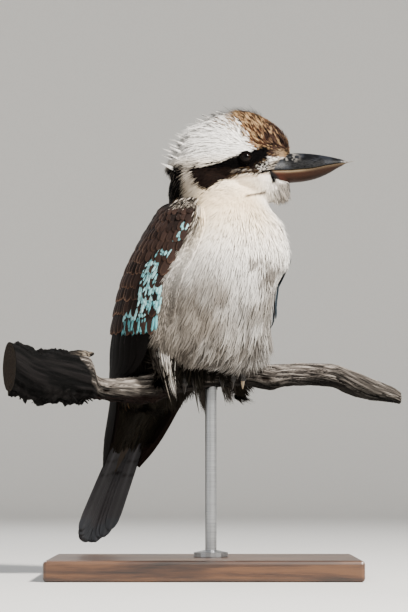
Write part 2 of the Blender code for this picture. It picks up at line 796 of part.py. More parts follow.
def thigh_locks(forward, out, raised, draw):
    """Locks round a thigh, which hang to a point below it."""
    locks = []
    for k in range(THIGH_LOCKS):
        turn = 2 * math.pi * k / THIGH_LOCKS
        up = draw.uniform(-14, -2)
        radius, = eased(THIGH_ROWS[::-1], up)
        outward = (bird(math.cos(turn), math.sin(turn), 0) - bird(0, 0, 0)).normalized()
        root = bird(forward + radius * math.cos(turn), out + radius * math.sin(turn), up + raised)
        lie = (Vector((0, 0, -1)) - 0.25 * outward).normalized()
        length = THIGH_LOCK[0] * draw.uniform(0.85, 1.1)
        locks.append(lock(root, lie, outward, length, THIGH_LOCK[1], 0.1, 0.05))
    return locks


def toe_path(x, offset, around, steps):
    """Points round the branch, from its top, with a toe's middle one radius off the bark."""
    path, radii = [], []
    for i in range(steps + 1):
        share = i / steps
        radius = TOE_RADIUS * (1 - 0.25 * share)
        place = x + offset * min(1, share * 1.6)
        middle, branch = perch_middle(place)
        a = math.radians(around) * share
        reach = branch + GAP + radius
        path.append(middle + reach * Vector((0, -math.sin(a), math.cos(a))))
        radii.append(radius)
    return path, radii


def claw_path(path, around):
    """A curved point that carries on from the end of a toe."""
    heading = (path[-1] - path[-2]).normalized()
    inward = Matrix.Rotation(math.radians(90 if around > 0 else -90), 3, "X") @ heading
    points, radii = [path[-1] - heading * TOE_RADIUS * 0.4], [TOE_RADIUS * 0.62]
    for i in (1, 2):
        share = i / 2
        points.append(path[-1] + CLAW_LENGTH * (share * heading + 0.2 * share * share * inward))
        radii.append(TOE_RADIUS * (0.62 * (1 - share) + 0.08))
    return points, radii


def make_feet(finish):
    for (name, _), x in zip(SIDES.items(), FOOT_X):
        middle, branch = perch_middle(x)
        top = middle + Vector((0, 0, branch + GAP))
        shank = [top + Vector((0, 2 * MM, h)) for h in (2 * MM, TARSUS_HEIGHT)]
        foot = tube("foot_" + name, shank, [TARSUS_RADIUS] * 2, 8, finish)
        pieces = [ball("pad", top + Vector((0, 0, 2 * MM)), (7 * MM, 6 * MM, 3.6 * MM), 5, 8)]
        for offset in TOE_SPREAD:
            path, radii = toe_path(x, offset, 112, 5)
            pieces.append(tube("toe", path, radii, 5))
            pieces.append(tube("claw", *claw_path(path, 1), 5))
        path, radii = toe_path(x, 0, -104, 5)
        pieces.append(tube("toe", path, radii, 5))
        pieces.append(tube("claw", *claw_path(path, -1), 5))
        applied(foot, "UNION", pieces)
        cutters = [trunk_part("cut", 0, TRUNK_ROWS[-1][0], GAP), perch_solid("cut", GAP)]
        smooth(applied(foot, "DIFFERENCE", cutters))


def trunk_surface(place, turn, lift=0.0):
    """A point of the trunk: place along its rows, turn in degrees from the breast line, metres off it."""
    forward, up, lean, back, breast, half = eased(TRUNK_ROWS, place)
    lean = math.radians(lean)
    angle = math.pi - math.radians(turn)
    c, s = superellipse(angle, BACK_FULLNESS if math.cos(angle) > 0 else BREAST_FULLNESS)
    reach = c * ((back if c > 0 else breast) + lift / MM)
    side = s * (half + lift / MM)
    return bird(forward - reach * math.sin(lean), side, up + reach * math.cos(lean))


def skirt_place(turn, height):
    """The place along the trunk where its surface passes a height above the perch."""
    low, high = 3.0, 6.0
    for _ in range(20):
        middle = (low + high) / 2
        if trunk_surface(middle, turn).z - PERCH_TOP > height * MM:
            high = middle
        else:
            low = middle
    return low


def skirt_locks(draw):
    """The loose feathers round the belly's lower rim, which hang down over the branch."""
    down = Vector((0, 0, -1))
    locks = []
    for row, height in enumerate(SKIRT_HEIGHTS):
        count = SKIRT_COUNT + row % 2
        for k in range(count):
            turn = SKIRT_REACH * (2 * (k + 0.5) / count - 1) + draw.uniform(-2, 2)
            place = skirt_place(turn, height + draw.uniform(-2, 2))
            root = trunk_surface(place, turn)
            out = (trunk_surface(place, turn, MM) - root).normalized()
            lie = (down - 0.5 * down.dot(out) * out).normalized()
            length = SKIRT_LOCK[0] * draw.uniform(0.8, 1.15)
            locks.append(lock(root, lie, out, length, SKIRT_LOCK[1], 0.22, 0.2))
    return locks


def make_trunk(finish):
    torso = trunk_part("torso", 0, NECK_START, finish=finish)
    cutters = [grown(part + name, CLEARANCE) for part in ("foot_", "thigh_") for name in SIDES]
    cutters += [grown("wing_" + name, CLEARANCE) for name in SIDES]
    applied(torso, "UNION", [trimmed(skirt_locks(random.Random(7)), cutters)])
    smooth(applied(torso, "DIFFERENCE", [perch_solid("cut", GAP)]))
    neck_start = NECK_START + GAP / MM / (TRUNK_ROWS[9][2] - TRUNK_ROWS[8][2])
    neck = trunk_part("neck", neck_start, TRUNK_ROWS[-1][0], finish=finish)
    smooth(applied(neck, "DIFFERENCE", [head_solid("cut", GAP)]))


def main():
    for left_over in list(bpy.data.objects):
        bpy.data.objects.remove(left_over)
    plumage = material("plumage", (0.78, 0.74, 0.67), 0.8)
    wing_brown = material("wing_brown", (0.09, 0.06, 0.045), 0.6)
    tail_brown = material("tail_brown", (0.2, 0.14, 0.1), 0.6)
    eye_brown = material("eye_brown", (0.03, 0.015, 0.01), 0.08)
    bill_black = material("bill_black", (0.03, 0.03, 0.035), 0.35)
    bill_horn = material("bill_horn", (0.45, 0.32, 0.22), 0.4)
    foot_skin = material("foot_skin", (0.35, 0.3, 0.24), 0.6)
    dead_wood = material("dead_wood", (0.36, 0.31, 0.27), 0.85)
    stand_wood = material("stand_wood", (0.12, 0.08, 0.055), 0.45)
    stand_steel = material("stand_steel", (0.5, 0.5, 0.5), 0.35, 1.0)

    make_stand(stand_wood, stand_steel)
    make_perch(dead_wood)
    make_feet(foot_skin)
    make_thighs(plumage)
    make_wings(wing_brown)
    make_trunk(plumage)
    make_tail(tail_brown)
    make_head(plumage, eye_brown)
    make_bill(bill_black, bill_horn)


main()
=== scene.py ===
"""A laughing kookaburra on a dead branch above a plain display stand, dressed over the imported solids.

Metres, +Z up. The viewer stands at -Y, the branch runs along X, the body is turned half way from +X to the
viewer, and the head looks along +X. Sizes in tables are millimetres, as in the part's own source.
"""

import math

import bmesh
import bpy
import numpy as np
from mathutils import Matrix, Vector


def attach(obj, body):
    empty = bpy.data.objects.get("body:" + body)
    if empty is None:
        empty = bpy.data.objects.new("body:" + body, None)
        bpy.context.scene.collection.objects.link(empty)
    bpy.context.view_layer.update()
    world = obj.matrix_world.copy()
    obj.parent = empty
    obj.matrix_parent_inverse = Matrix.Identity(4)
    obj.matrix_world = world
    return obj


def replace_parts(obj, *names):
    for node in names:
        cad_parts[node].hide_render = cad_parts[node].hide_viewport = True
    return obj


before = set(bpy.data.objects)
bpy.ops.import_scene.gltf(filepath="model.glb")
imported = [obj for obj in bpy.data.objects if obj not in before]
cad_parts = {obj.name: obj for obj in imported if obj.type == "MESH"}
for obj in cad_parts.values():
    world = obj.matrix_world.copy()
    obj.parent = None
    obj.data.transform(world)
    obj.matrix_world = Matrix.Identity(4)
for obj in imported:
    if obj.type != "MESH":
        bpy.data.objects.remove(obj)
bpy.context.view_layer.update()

MM = 0.001
UP = np.array([0.0, 0.0, 1.0])

# The bird's place over the stand, as in the part's source
PERCH_TOP = 184
BODY_X = -12.8
BODY_TURN = math.radians(-45)
HEAD_AT = np.array([21.1, -24.6, 366.8])
HEAD_TURN = math.radians(-10)

# The trunk: place, forward, up, lean of the spine, reach to back, to breast and to each side
TRUNK_ROWS = (
    (0, -61, -29.5, 60, 9, 9, 22),
    (1, -50, -17.5, 60, 17, 16, 34),
    (2, -36, -4, 60, 30, 20, 44),
    (3, -22, 14, 56, 42, 24, 55),
    (4, -4, 34, 62, 56, 68, 64),
    (5, 6, 58, 76, 63, 77, 63),
    (6, 15, 80, 82, 63, 79, 62),
    (7, 24, 102, 87, 58, 76, 58),
    (8, 30, 122, 90, 50, 64, 50),
    (9, 32, 140, 90, 42, 50, 43),
    (10, 32, 158, 88, 42, 40, 42),
    (11, 30, 174, 85, 38, 34, 36),
)
BACK_FULLNESS = 2.1
BREAST_FULLNESS = 2.45

# The head: place along its axis, top, bottom and half width
HEAD_ROWS = (
    (-52, 0, -8, 6),
    (-48, 10, -22, 18),
    (-38, 21, -34, 29),
    (-25, 31, -40, 35),
    (-11, 37, -42, 38),
    (2, 40, -42, 38.5),
    (15, 39.5, -42, 36),
    (28, 35.5, -41, 30.5),
    (38, 29.5, -40, 22.5),
    (46, 22.5, -38, 15),
    (52, 13.5, -34, 10.5),
    (55, 4, -26, 6),
)
HEAD_FULLNESS = 2.25
EYE_RADIUS = 6.2
EYE_AT = (20.5, 31, -5)

# The bill: place along the head's axis, ridge, mouth line and keel, half widths above and below
BILL_ROWS = (
    (34, 1.6, -14.0, -22.4, 14.0, 13.0),
    (44, 2.0, -14.0, -23.4, 13.4, 12.4),
    (55, 2.0, -13.6, -23.8, 12.2, 11.0),
    (66, 1.8, -12.8, -23.0, 10.6, 9.4),
    (77, 0.6, -11.6, -20.8, 8.8, 7.6),
    (88, -1.4, -9.2, -16.4, 6.6, 5.4),
    (98, -3.8, -7.6, -10.8, 4.2, 3.2),
    (104, -4.9, -6.9, -8.6, 2.6, 1.6),
)

# A folded wing as a sheet: height, forward centre, radius, angles of its rear and front edges
WING_ROWS = (
    (-90, -82, 21.0, 40, 76),
    (-72, -72, 27.0, 30, 86),
    (-50, -54, 35.0, 18, 80),
    (-28, -38, 43.5, 14, 76),
    (-13, -24, 53.5, 13, 73),
    (-2, -14, 60.0, 12, 99),
    (16, -4, 67.0, 12, 108),
    (42, 4, 69.5, 14, 108),
    (69, 12, 69.0, 18, 108),
    (92, 21, 66.0, 24, 112),
    (112, 28, 60.0, 33, 115),
    (128, 31, 52.5, 48, 115),
    (140, 31, 45.5, 66, 112),
)

# The tail, from its root at the trunk's end
TAIL_ROOT = (-61.5, -30.4)
TAIL_LEAN = math.radians(60.5)
TAIL_CORE = ((0, 21.5, 8.6), (20, 21, 5.6), (55, 17, 3.0), (84, 11, 1.6))
TAIL_FULLNESS = 2.4
TAIL_SPREAD = 3.1
TAIL_LENGTHS = (143, 143, 142, 140, 136, 130)
TAIL_HALF_WIDTH = 8.2

# The branch: place along X, height of its middle, radius
PERCH_ROWS = (
    (-166, 181.5, 21.8),
    (-149, 175.2, 20.9),
    (-127, 173.4, 20.5),
    (-107, 173.5, 19.6),
    (-99, 172.3, 17.7),
    (-94, 165.4, 11.4),
    (-82, 163.1, 10.0),
    (-60, 163.6, 12.0),
    (-43, 166.6, 13.7),
    (-25, 171.1, 11.7),
    (-4, 174.0, 10.0),
    (36, 177.0, 9.2),
    (58, 176.1, 11.5),
    (72, 178.0, 10.1),
    (113, 178.2, 10.8),
    (131, 172.0, 11.2),
    (149, 166.3, 10.0),
    (168, 161.6, 7.4),
    (176, 158.6, 5.5),
)
PERCH_YAW = math.tan(math.radians(20))
PERCH_Y = -4
SNAG_ROOT = (-117, -46, 187)
SNAG_TIP = (-95, -40, 194)

# Thighs and feet
THIGH_AT = (13, 46)
THIGH_ROWS = ((34, 2), (26, 6), (12, 9.5), (-4, 9.5), (-16, 7.5), (-26, 4), (-31, 1.2))
THIGH_LIFT = {"right": 13, "left": 0}
FOOT_X = {"right": -17, "left": 25}
TOE_RADIUS = 3.3
TOE_SPREAD = (-9, 0, 9)
CLAW_LENGTH = 9
TARSUS_RADIUS = 4.2
TARSUS_HEIGHT = 22
SIDES = {"right": -1, "left": 1}

# How deep the skin lies under the coat's outer face
BODY_COAT = 3.6
FACE_COAT = 2.2
# Half the size of a tuft's patch on the unwrap named OFBake
TUFT_PATCH = 0.0015


def linear(hex_colour):
    """The linear values of an sRGB hex colour."""
    parts = [int(hex_colour[i : i + 2], 16) / 255 for i in (1, 3, 5)]
    return np.array([p / 12.92 if p <= 0.04045 else ((p + 0.055) / 1.055) ** 2.4 for p in parts])


def rgba(hex_colour):
    return (*linear(hex_colour), 1.0)


def unit(vectors):
    return vectors / np.maximum(np.linalg.norm(vectors, axis=-1, keepdims=True), 1e-12)


def soft(value):
    """Rises smoothly from 0 to 1 as the value does."""
    value = np.clip(value, 0, 1)
    return value * value * (3 - 2 * value)


def mix(first, second, amount):
    return first + (second - first) * np.asarray(amount)[..., None]


def cloud(points, size, seed=0):
    """Smooth random values from 0 to 1 in space, with blobs about as wide as size."""
    cell = np.asarray(points) / size
    low = np.floor(cell).astype(np.int64)
    part = cell - low
    part = part * part * (3 - 2 * part)
    total = np.zeros(cell.shape[:-1])
    for corner in np.ndindex(2, 2, 2):
        at = low + np.array(corner)
        mixed = at[..., 0] * 73856093 ^ at[..., 1] * 19349663 ^ at[..., 2] * 83492791 ^ (seed + 1) * 40503
        mixed = (mixed ^ (mixed >> 13)) * 1274126177
        value = ((mixed ^ (mixed >> 16)) & 65535) / 65535
        total += value * np.prod(np.where(corner, part, 1 - part), axis=-1)
    return total


def eased(rows, place):
    """The values at many places along the rows, on one smooth curve through them."""
    rows = np.array(rows, float)
    place = np.clip(np.asarray(place, float), rows[0, 0], rows[-1, 0])
    after = np.clip(np.searchsorted(rows[:, 0], place), 1, len(rows) - 1)
    low, high = rows[after - 1], rows[after]
    before, beyond = rows[np.maximum(after - 2, 0)], rows[np.minimum(after + 1, len(rows) - 1)]
    span = high[..., :1] - low[..., :1]
    t = (place[..., None] - low[..., :1]) / span
    slope_low = (high - before) / (high[..., :1] - before[..., :1]) * span
    slope_high = (beyond - low) / (beyond[..., :1] - low[..., :1]) * span
    step = high - low
    values = low + t * slope_low + t**2 * (3 * step - 2 * slope_low - slope_high)
    values = values + t**3 * (slope_low + slope_high - 2 * step)
    return np.moveaxis(values[..., 1:], -1, 0)


def bird(forward, left, up):
    """Points of the body's own frame, in the world, all in millimetres."""
    c, s = math.cos(BODY_TURN), math.sin(BODY_TURN)
    forward, left, up = np.broadcast_arrays(forward, left, up)
    return np.stack([BODY_X + c * forward - s * left, s * forward + c * left, PERCH_TOP + up], -1)


def to_bird(points):
    """Forward, left and up of world points, in the body's own frame."""
    c, s = math.cos(BODY_TURN), math.sin(BODY_TURN)
    x, y = points[..., 0] - BODY_X, points[..., 1]
    return c * x + s * y, -s * x + c * y, points[..., 2] - PERCH_TOP


def of_head(along, left, up):
    """Points of the head's own frame, in the world."""
    c, s = math.cos(HEAD_TURN), math.sin(HEAD_TURN)
    along, left, up = np.broadcast_arrays(along, left, up)
    return HEAD_AT + np.stack([c * along - s * left, s * along + c * left, up], -1)


def to_head(points):
    """Along, left and up of world points, in the head's own frame."""
    c, s = math.cos(HEAD_TURN), math.sin(HEAD_TURN)
    x, y, z = np.moveaxis(points - HEAD_AT, -1, 0)
    return c * x + s * y, -s * x + c * y, z


def superellipse(angle, fullness):
    c, s = np.cos(angle), np.sin(angle)
    stretch = (np.abs(c) ** fullness + np.abs(s) ** fullness) ** (-1 / fullness)
    return c * stretch, s * stretch


def trunk_at(place, turn, lift=0.0):
    """Points of the trunk: place along its rows, turn in radians from the spine, and lift off it."""
    forward, up, lean, back, breast, half = eased(TRUNK_ROWS, place)
    lean = np.radians(lean)
    fullness = np.where(np.cos(turn) > 0, BACK_FULLNESS, BREAST_FULLNESS)
    c, s = superellipse(turn, fullness)
    reach = c * (np.where(c > 0, back, breast) + lift)
    return bird(forward - reach * np.sin(lean), s * (half + lift), up + reach * np.cos(lean))


def head_at(along, angle, lift=0.0):
    """Points of the head: place along it, angle in radians from the crown, and lift off it."""
    top, bottom, half = eased(HEAD_ROWS, along)
    c, s = superellipse(angle, HEAD_FULLNESS)
    return of_head(along, s * (half + lift), (top + bottom) / 2 + c * ((top - bottom) / 2 + lift))


def wing_at(side, up, share, lift=0.0):
    """Points of a wing's sheet: share runs from its front edge to its rear one."""
    centre, radius, rear, front = eased(WING_ROWS, up)
    angle = np.radians(front + (rear - front) * share)
    reach = radius + lift
    return bird(centre - reach * np.cos(angle), side * reach * np.sin(angle), up)


def tail_at(along, out, lift=0.0):
    """Points of the tail, from its root."""
    forward = TAIL_ROOT[0] - along * math.cos(TAIL_LEAN) - lift * math.sin(TAIL_LEAN)
    up = TAIL_ROOT[1] - along * math.sin(TAIL_LEAN) + lift * math.cos(TAIL_LEAN)
    return bird(forward, out, up)


def perch_at(x):
    """Middles and radii of the branch at places along X."""
    height, radius = eased(PERCH_ROWS, x)
    return np.stack([x, PERCH_Y + x * PERCH_YAW, height], -1), radius


PERCH_AXIS = unit(np.array([1, PERCH_YAW, 0]))
PERCH_FLAT = np.cross(PERCH_AXIS, UP)


def clear_of_perch(points, gap):
    """Pushes points that would lie in the branch out to a gap above its bark."""
    along = (points - np.array([0, PERCH_Y, 0])) @ PERCH_AXIS
    middle, radius = perch_at(along * PERCH_AXIS[0])
    offset = points - middle
    offset = offset - (offset @ PERCH_AXIS)[..., None] * PERCH_AXIS
    distance = np.linalg.norm(offset, axis=-1)
    inside = (distance < radius + gap) & (np.abs(points[..., 0]) < 165)
    pushed = middle + offset / np.maximum(distance, 1e-6)[..., None] * (radius + gap)[..., None]
    pushed = pushed + ((points - middle) @ PERCH_AXIS)[..., None] * PERCH_AXIS
    return np.where(inside[..., None], pushed, points)


# Meshes


def placed(name, data):
    """A new object in the scene, from its mesh, lamp or lens."""
    made = bpy.data.objects.new(name, data)
    bpy.context.scene.collection.objects.link(made)
    return made


def mesh_piece(name, points, faces, finish, slot, colours=None, patches=None, grain=None):
    """A smooth mesh from arrays of points in millimetres and of faces alike in their number of corners."""
    shape = np.shape(points)
    points, faces = np.asarray(points, float).reshape(-1, 3), np.asarray(faces)
    mesh = bpy.data.meshes.new(name)
    mesh.vertices.add(len(points))
    mesh.vertices.foreach_set("co", (points * MM).ravel())
    mesh.loops.add(faces.size)
    mesh.loops.foreach_set("vertex_index", faces.ravel())
    mesh.polygons.add(len(faces))
    mesh.polygons.foreach_set("loop_start", np.arange(len(faces)) * faces.shape[1])
    mesh.update(calc_edges=True)
    mesh.shade_smooth()
    if colours is not None:
        paint(mesh, np.broadcast_to(colours, shape).reshape(-1, 3))
    if grain is not None:
        layer = mesh.attributes.new("grain", "FLOAT_VECTOR", "POINT")
        layer.data.foreach_set("vector", np.asarray(grain, float).ravel())
    if patches is not None:
        layer = mesh.uv_layers.new(name="OFBake")
        layer.uv.foreach_set("vector", patches.reshape(-1, 2)[faces.ravel()].ravel())
    mesh.materials.append(finish)
    made = placed(name, mesh)
    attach(made, "root")
    return made


def paint(mesh, colours):
    """Gives each of a mesh's points its colour, in the layer named coat."""
    values = np.ones((len(colours), 4))
    values[:, :3] = np.clip(colours, 0, 1)
    mesh.color_attributes.new("coat", "FLOAT_COLOR", "POINT").data.foreach_set("color", values.ravel())


def read(items, attribute, width, kind=float):
    """One attribute of all of a mesh's items, as rows of numbers."""
    values = np.empty(len(items) * width, kind)
    items.foreach_get(attribute, values)
    return values.reshape(-1, width)


def tuft_patches(places, across, down):
    """A small patch of the unwrap for each blade, round its root's place."""
    return places[:, None, None] + np.stack([across, 2 * down - 1], -1) * TUFT_PATCH


def sheet_faces(rows, columns, closed=False):
    """Quads of a grid of points; closed joins the last column to the first."""
    i, k = np.meshgrid(np.arange(rows - 1), np.arange(columns if closed else columns - 1), indexing="ij")
    i, k = i.ravel(), k.ravel()
    right = (k + 1) % columns
    return np.stack([i * columns + k, i * columns + right, (i + 1) * columns + right, (i + 1) * columns + k], 1)


def tube_mesh(rings):
    """Points and triangles of a closed loft over rings of equally many points, with a fan at each end."""
    rings = np.asarray(rings, float)
    rows, columns = rings.shape[:2]
    quads = sheet_faces(rows, columns, closed=True)
    faces = np.concatenate([quads[:, [0, 1, 2]], quads[:, [0, 2, 3]]])
    points = rings.reshape(-1, 3)
    k = np.arange(columns)
    ahead = (k + 1) % columns
    start, end = len(points), len(points) + 1
    last = (rows - 1) * columns
    caps = [np.stack([ahead, k, np.full(columns, start)], 1)]
    caps.append(np.stack([last + k, last + ahead, np.full(columns, end)], 1))
    points = np.concatenate([points, rings[0].mean(0)[None], rings[-1].mean(0)[None]])
    return points, np.concatenate([faces] + caps)


def joined(meshes):
    """Points and faces of several meshes as one."""
    starts = np.cumsum([0] + [len(points) for points, _ in meshes[:-1]])
    faces = [one_faces + start for (_, one_faces), start in zip(meshes, starts)]
    return np.concatenate([points for points, _ in meshes]), np.concatenate(faces)


def turned_outwards(made):
    """Turns a mesh's faces outwards."""
    shell = bmesh.new()
    shell.from_mesh(made.data)
    bmesh.ops.recalc_face_normals(shell, faces=shell.faces)
    shell.to_mesh(made.data)
    shell.free()
    return made


def round_rings(path, radii, sides):
    """Round rings across a path."""
    path, radii = np.asarray(path, float), np.asarray(radii, float)
    ahead = unit(np.gradient(path, axis=0))
    across = unit(np.cross(ahead, np.array([0.13, 0.97, 0.2])))
    other = np.cross(ahead, across)
    turns = 2 * np.pi * np.arange(sides) / sides
    ring = np.cos(turns)[None, :, None] * across[:, None] + np.sin(turns)[None, :, None] * other[:, None]
    return path[:, None] + radii[:, None, None] * ring


def blades(middles, rise, half, crown=None, columns=3):
    """Points and triangles of many thin closed blades, and each point's place across and along its blade.

    middles and rise are blades by stations by 3, half and crown are blades by stations. A blade is arched by
    its crown above, flat below, and comes to nothing at both sides.
    """
    crown = half * 0.3 if crown is None else crown
    count, stations = middles.shape[:2]
    ahead = unit(np.gradient(middles, axis=1))
    rise = unit(rise - (rise * ahead).sum(-1, keepdims=True) * ahead)
    across = np.cross(ahead, rise)
    x = np.sin(np.linspace(-np.pi / 2, np.pi / 2, columns))
    points = (
        middles[:, :, None]
        + x[:, None] * half[:, :, None, None] * across[:, :, None]
        + (1 - x * x)[:, None] * crown[:, :, None, None] * rise[:, :, None]
    )
    k, c = np.meshgrid(np.arange(stations - 1), np.arange(columns - 1), indexing="ij")
    a = (k * columns + c).ravel()
    low = np.arange(stations - 1) * columns
    far = low + columns - 1
    fan = np.arange(1, columns - 1)
    end = (stations - 1) * columns
    corners = (
        (a, a + 1, a + columns + 1),
        (a, a + columns + 1, a + columns),
        (low, low + columns, far + columns),
        (low, far + columns, far),
        (0 * fan, fan + 1, fan),
        (0 * fan + end, end + fan, end + fan + 1),
    )
    one = np.concatenate([np.stack(each, 1) for each in corners])
    starts = np.arange(count) * stations * columns
    places = np.broadcast_to(x, (count, stations, columns))
    shares = np.broadcast_to(np.linspace(0, 1, stations)[:, None], (count, stations, columns))
    return points, (one[None] + starts[:, None, None]).reshape(-1, 3), places, shares


# Materials


RANGE_SOCKETS = ("Value", "From Min", "From Max", "To Min", "To Max")


def add(made, kind, sockets=None, stops=None, **settings):
    """Adds a node to a material, with its settings. A socket gets a value, or another node's output."""
    node = made.node_tree.nodes.new(kind)
    for name, value in settings.items():
        setattr(node, name, value)
    for name, value in (sockets or {}).items():
        if isinstance(value, bpy.types.NodeSocket):
            made.node_tree.links.new(value, node.inputs[name])
        else:
            node.inputs[name].default_value = value
    if stops:
        ramp = node.color_ramp
        ramp.elements[0].position, ramp.elements[0].color = stops[0]
        ramp.elements[1].position, ramp.elements[1].color = stops[-1]
        for position, colour in stops[1:-1]:
            ramp.elements.new(position).color = colour
    return node.outputs


def new_finish(name, **shader_values):
    """A material with its shader's constant sockets set."""
    made = bpy.data.materials.new(name)
    made.use_nodes = True
    sockets = made.node_tree.nodes["Principled BSDF"].inputs
    for socket, value in shader_values.items():
        sockets[socket.replace("_", " ")].default_value = value
    return made


def blobs(made, vector, per_unit, **sockets):
    """Noise over a vector, with so many blobs a unit along each of its axes."""
    drawn = add(made, "ShaderNodeVectorMath", {0: vector, 1: per_unit}, operation="MULTIPLY")
    return add(made, "ShaderNodeTexNoise", {"Vector": drawn[0], "Scale": 1.0} | sockets)["Fac"]


def shaded_coat(made, value, span, shades):
    """The piece's own colour, made darker and lighter as a value runs over a span."""
    coat = add(made, "ShaderNodeAttribute", attribute_name="coat")["Color"]
    shade = add(made, "ShaderNodeMapRange", dict(zip(RANGE_SOCKETS, (value, *span, *shades))))["Result"]
    return add(made, "ShaderNodeVectorMath", {0: coat, "Scale": shade}, operation="SCALE")["Vector"]


def surfaced(made, colour, height=None, strength=0.0, depth=0.0, wear=None):
    """Links colour, relief and, as a value and a span of roughness, wear to a material's shader."""
    links, sockets = made.node_tree.links, made.node_tree.nodes["Principled BSDF"].inputs
    links.new(colour, sockets["Base Color"])
    if height:
        bump = add(made, "ShaderNodeBump", {"Height": height, "Strength": strength, "Distance": depth})
        links.new(bump["Normal"], sockets["Normal"])
    if wear:
        value, low, high = wear
        rough = add(made, "ShaderNodeMapRange", dict(zip(RANGE_SOCKETS, (value, 0.3, 0.7, low, high))))
        links.new(rough["Result"], sockets["Roughness"])
    return made


def down_finish():
    """Downy contour feathers: keratin barbs too fine to see, so a soft and wholly matt surface.

    The colour is the coat's own, with each barb a little lighter or darker, drawn coarse enough to show.
    """
    made = new_finish("kookaburra_down", Roughness=0.9, IOR=1.54, Specular_IOR_Level=0.05)
    place = add(made, "ShaderNodeTexCoord")["Object"]
    barb_spacing = 0.9 * MM
    streak = blobs(made, place, (1 / barb_spacing,) * 3, Detail=2.0, Roughness=0.6)
    return surfaced(made, shaded_coat(made, streak, (0.3, 0.7), (0.9, 1.08)), streak, 0.2, 0.3 * MM)


def vane_finish():
    """Flight feathers and coverts: smooth zipped barbs that run out from the shaft, so a low, silky gloss."""
    made = new_finish("kookaburra_vane", Roughness=0.68, IOR=1.54, Specular_IOR_Level=0.07)
    grain = add(made, "ShaderNodeAttribute", attribute_name="grain")["Vector"]
    axes = add(made, "ShaderNodeSeparateXYZ", {"Vector": grain})
    out = add(made, "ShaderNodeMath", {0: axes["X"]}, operation="ABSOLUTE")[0]
    # Barbs leave the shaft at about 35 degrees, so a barb's place is along it less a part of the way out
    slant = add(made, "ShaderNodeMath", {0: out, 1: -1.4, 2: axes["Y"]}, operation="MULTIPLY_ADD")[0]
    lines = add(made, "ShaderNodeCombineXYZ", {"X": slant, "Y": 0.0, "Z": axes["Z"]})[0]
    barb_spacing = 0.55
    barbs = blobs(made, lines, (1 / barb_spacing,) * 3, Detail=2.0)
    return surfaced(made, shaded_coat(made, barbs, (0.3, 0.7), (0.78, 1.2)), barbs, 0.4, 0.25 * MM)


def skin_finish():
    """Bird skin under the coat: dry and matt, in the coat's own colours, darker where the down parts."""
    made = new_finish("kookaburra_skin", Roughness=0.9, IOR=1.45, Specular_IOR_Level=0.04)
    place = add(made, "ShaderNodeTexCoord")["Object"]
    tract_spacing = 2.5 * MM
    dots = blobs(made, place, (1 / tract_spacing,) * 3, Detail=3.0)
    return surfaced(made, shaded_coat(made, dots, (0.3, 0.7), (0.78, 1.0)), dots, 0.5, 0.5 * MM)


def horn_finish(name, roughness, scratch, shine):
    """Horn of bill and claws: keratin grown in layers, polished by use, with fine lengthwise scratches."""
    made = new_finish(name, Roughness=roughness, IOR=1.55, Specular_IOR_Level=shine)
    grain = add(made, "ShaderNodeAttribute", attribute_name="grain")["Vector"]
    # A scratch is about 0.4 mm wide and some 9 mm long
    scratches = blobs(made, grain, (0.11, 2.5, 2.5), Detail=4.0)
    colour = shaded_coat(made, scratches, (0.3, 0.75), (1 - scratch, 1 + scratch))
    return surfaced(made, colour, scratches, 0.4, 0.25 * MM, (scratches, roughness - 0.1, roughness + 0.15))


def eye_finish():
    """A wet cornea over a dark brown iris: nearly black, with one sharp highlight."""
    made = new_finish("kookaburra_eye", Roughness=0.05, IOR=1.38, Specular_IOR_Level=0.14)
    grain = add(made, "ShaderNodeAttribute", attribute_name="grain")["Vector"]
    axes = add(made, "ShaderNodeSeparateXYZ", {"Vector": grain})
    rays = add(made, "ShaderNodeTexNoise", {"Vector": grain, "Scale": 3.0, "Detail": 3.0})["Fac"]
    wobble = add(made, "ShaderNodeMath", {0: rays, 1: 0.06, 2: axes["X"]}, operation="MULTIPLY_ADD")[0]
    # From the pupil over the iris, which is lightest round the pupil, to the white, which hardly shows
    iris = ((0.0, "#050404"), (0.42, "#070505"), (0.5, "#120a06"), (0.78, "#0c0705"), (0.9, "#0d0806"))
    stops = [(place, rgba(colour)) for place, colour in iris]
    return surfaced(made, add(made, "ShaderNodeValToRGB", {"Fac": wobble}, stops)["Color"])


def foot_finish():
    """Scaly foot skin: dry, faintly waxy scutes, darker in the folds between them."""
    made = new_finish("kookaburra_foot", Roughness=0.55, IOR=1.5)
    place = add(made, "ShaderNodeTexCoord")["Object"]
    scale_width = 1.1 * MM
    sockets = {"Vector": place, "Scale": 1 / scale_width}
    scales = add(made, "ShaderNodeTexVoronoi", sockets, feature="DISTANCE_TO_EDGE")
    fold, span, shades = scales["Distance"], (0.0, 0.12), (0.45, 1.05)
    edge = add(made, "ShaderNodeMapRange", dict(zip(RANGE_SOCKETS, (fold, *span, *shades))))["Result"]
    return surfaced(made, shaded_coat(made, fold, span, shades), edge, 0.6, 0.25 * MM)


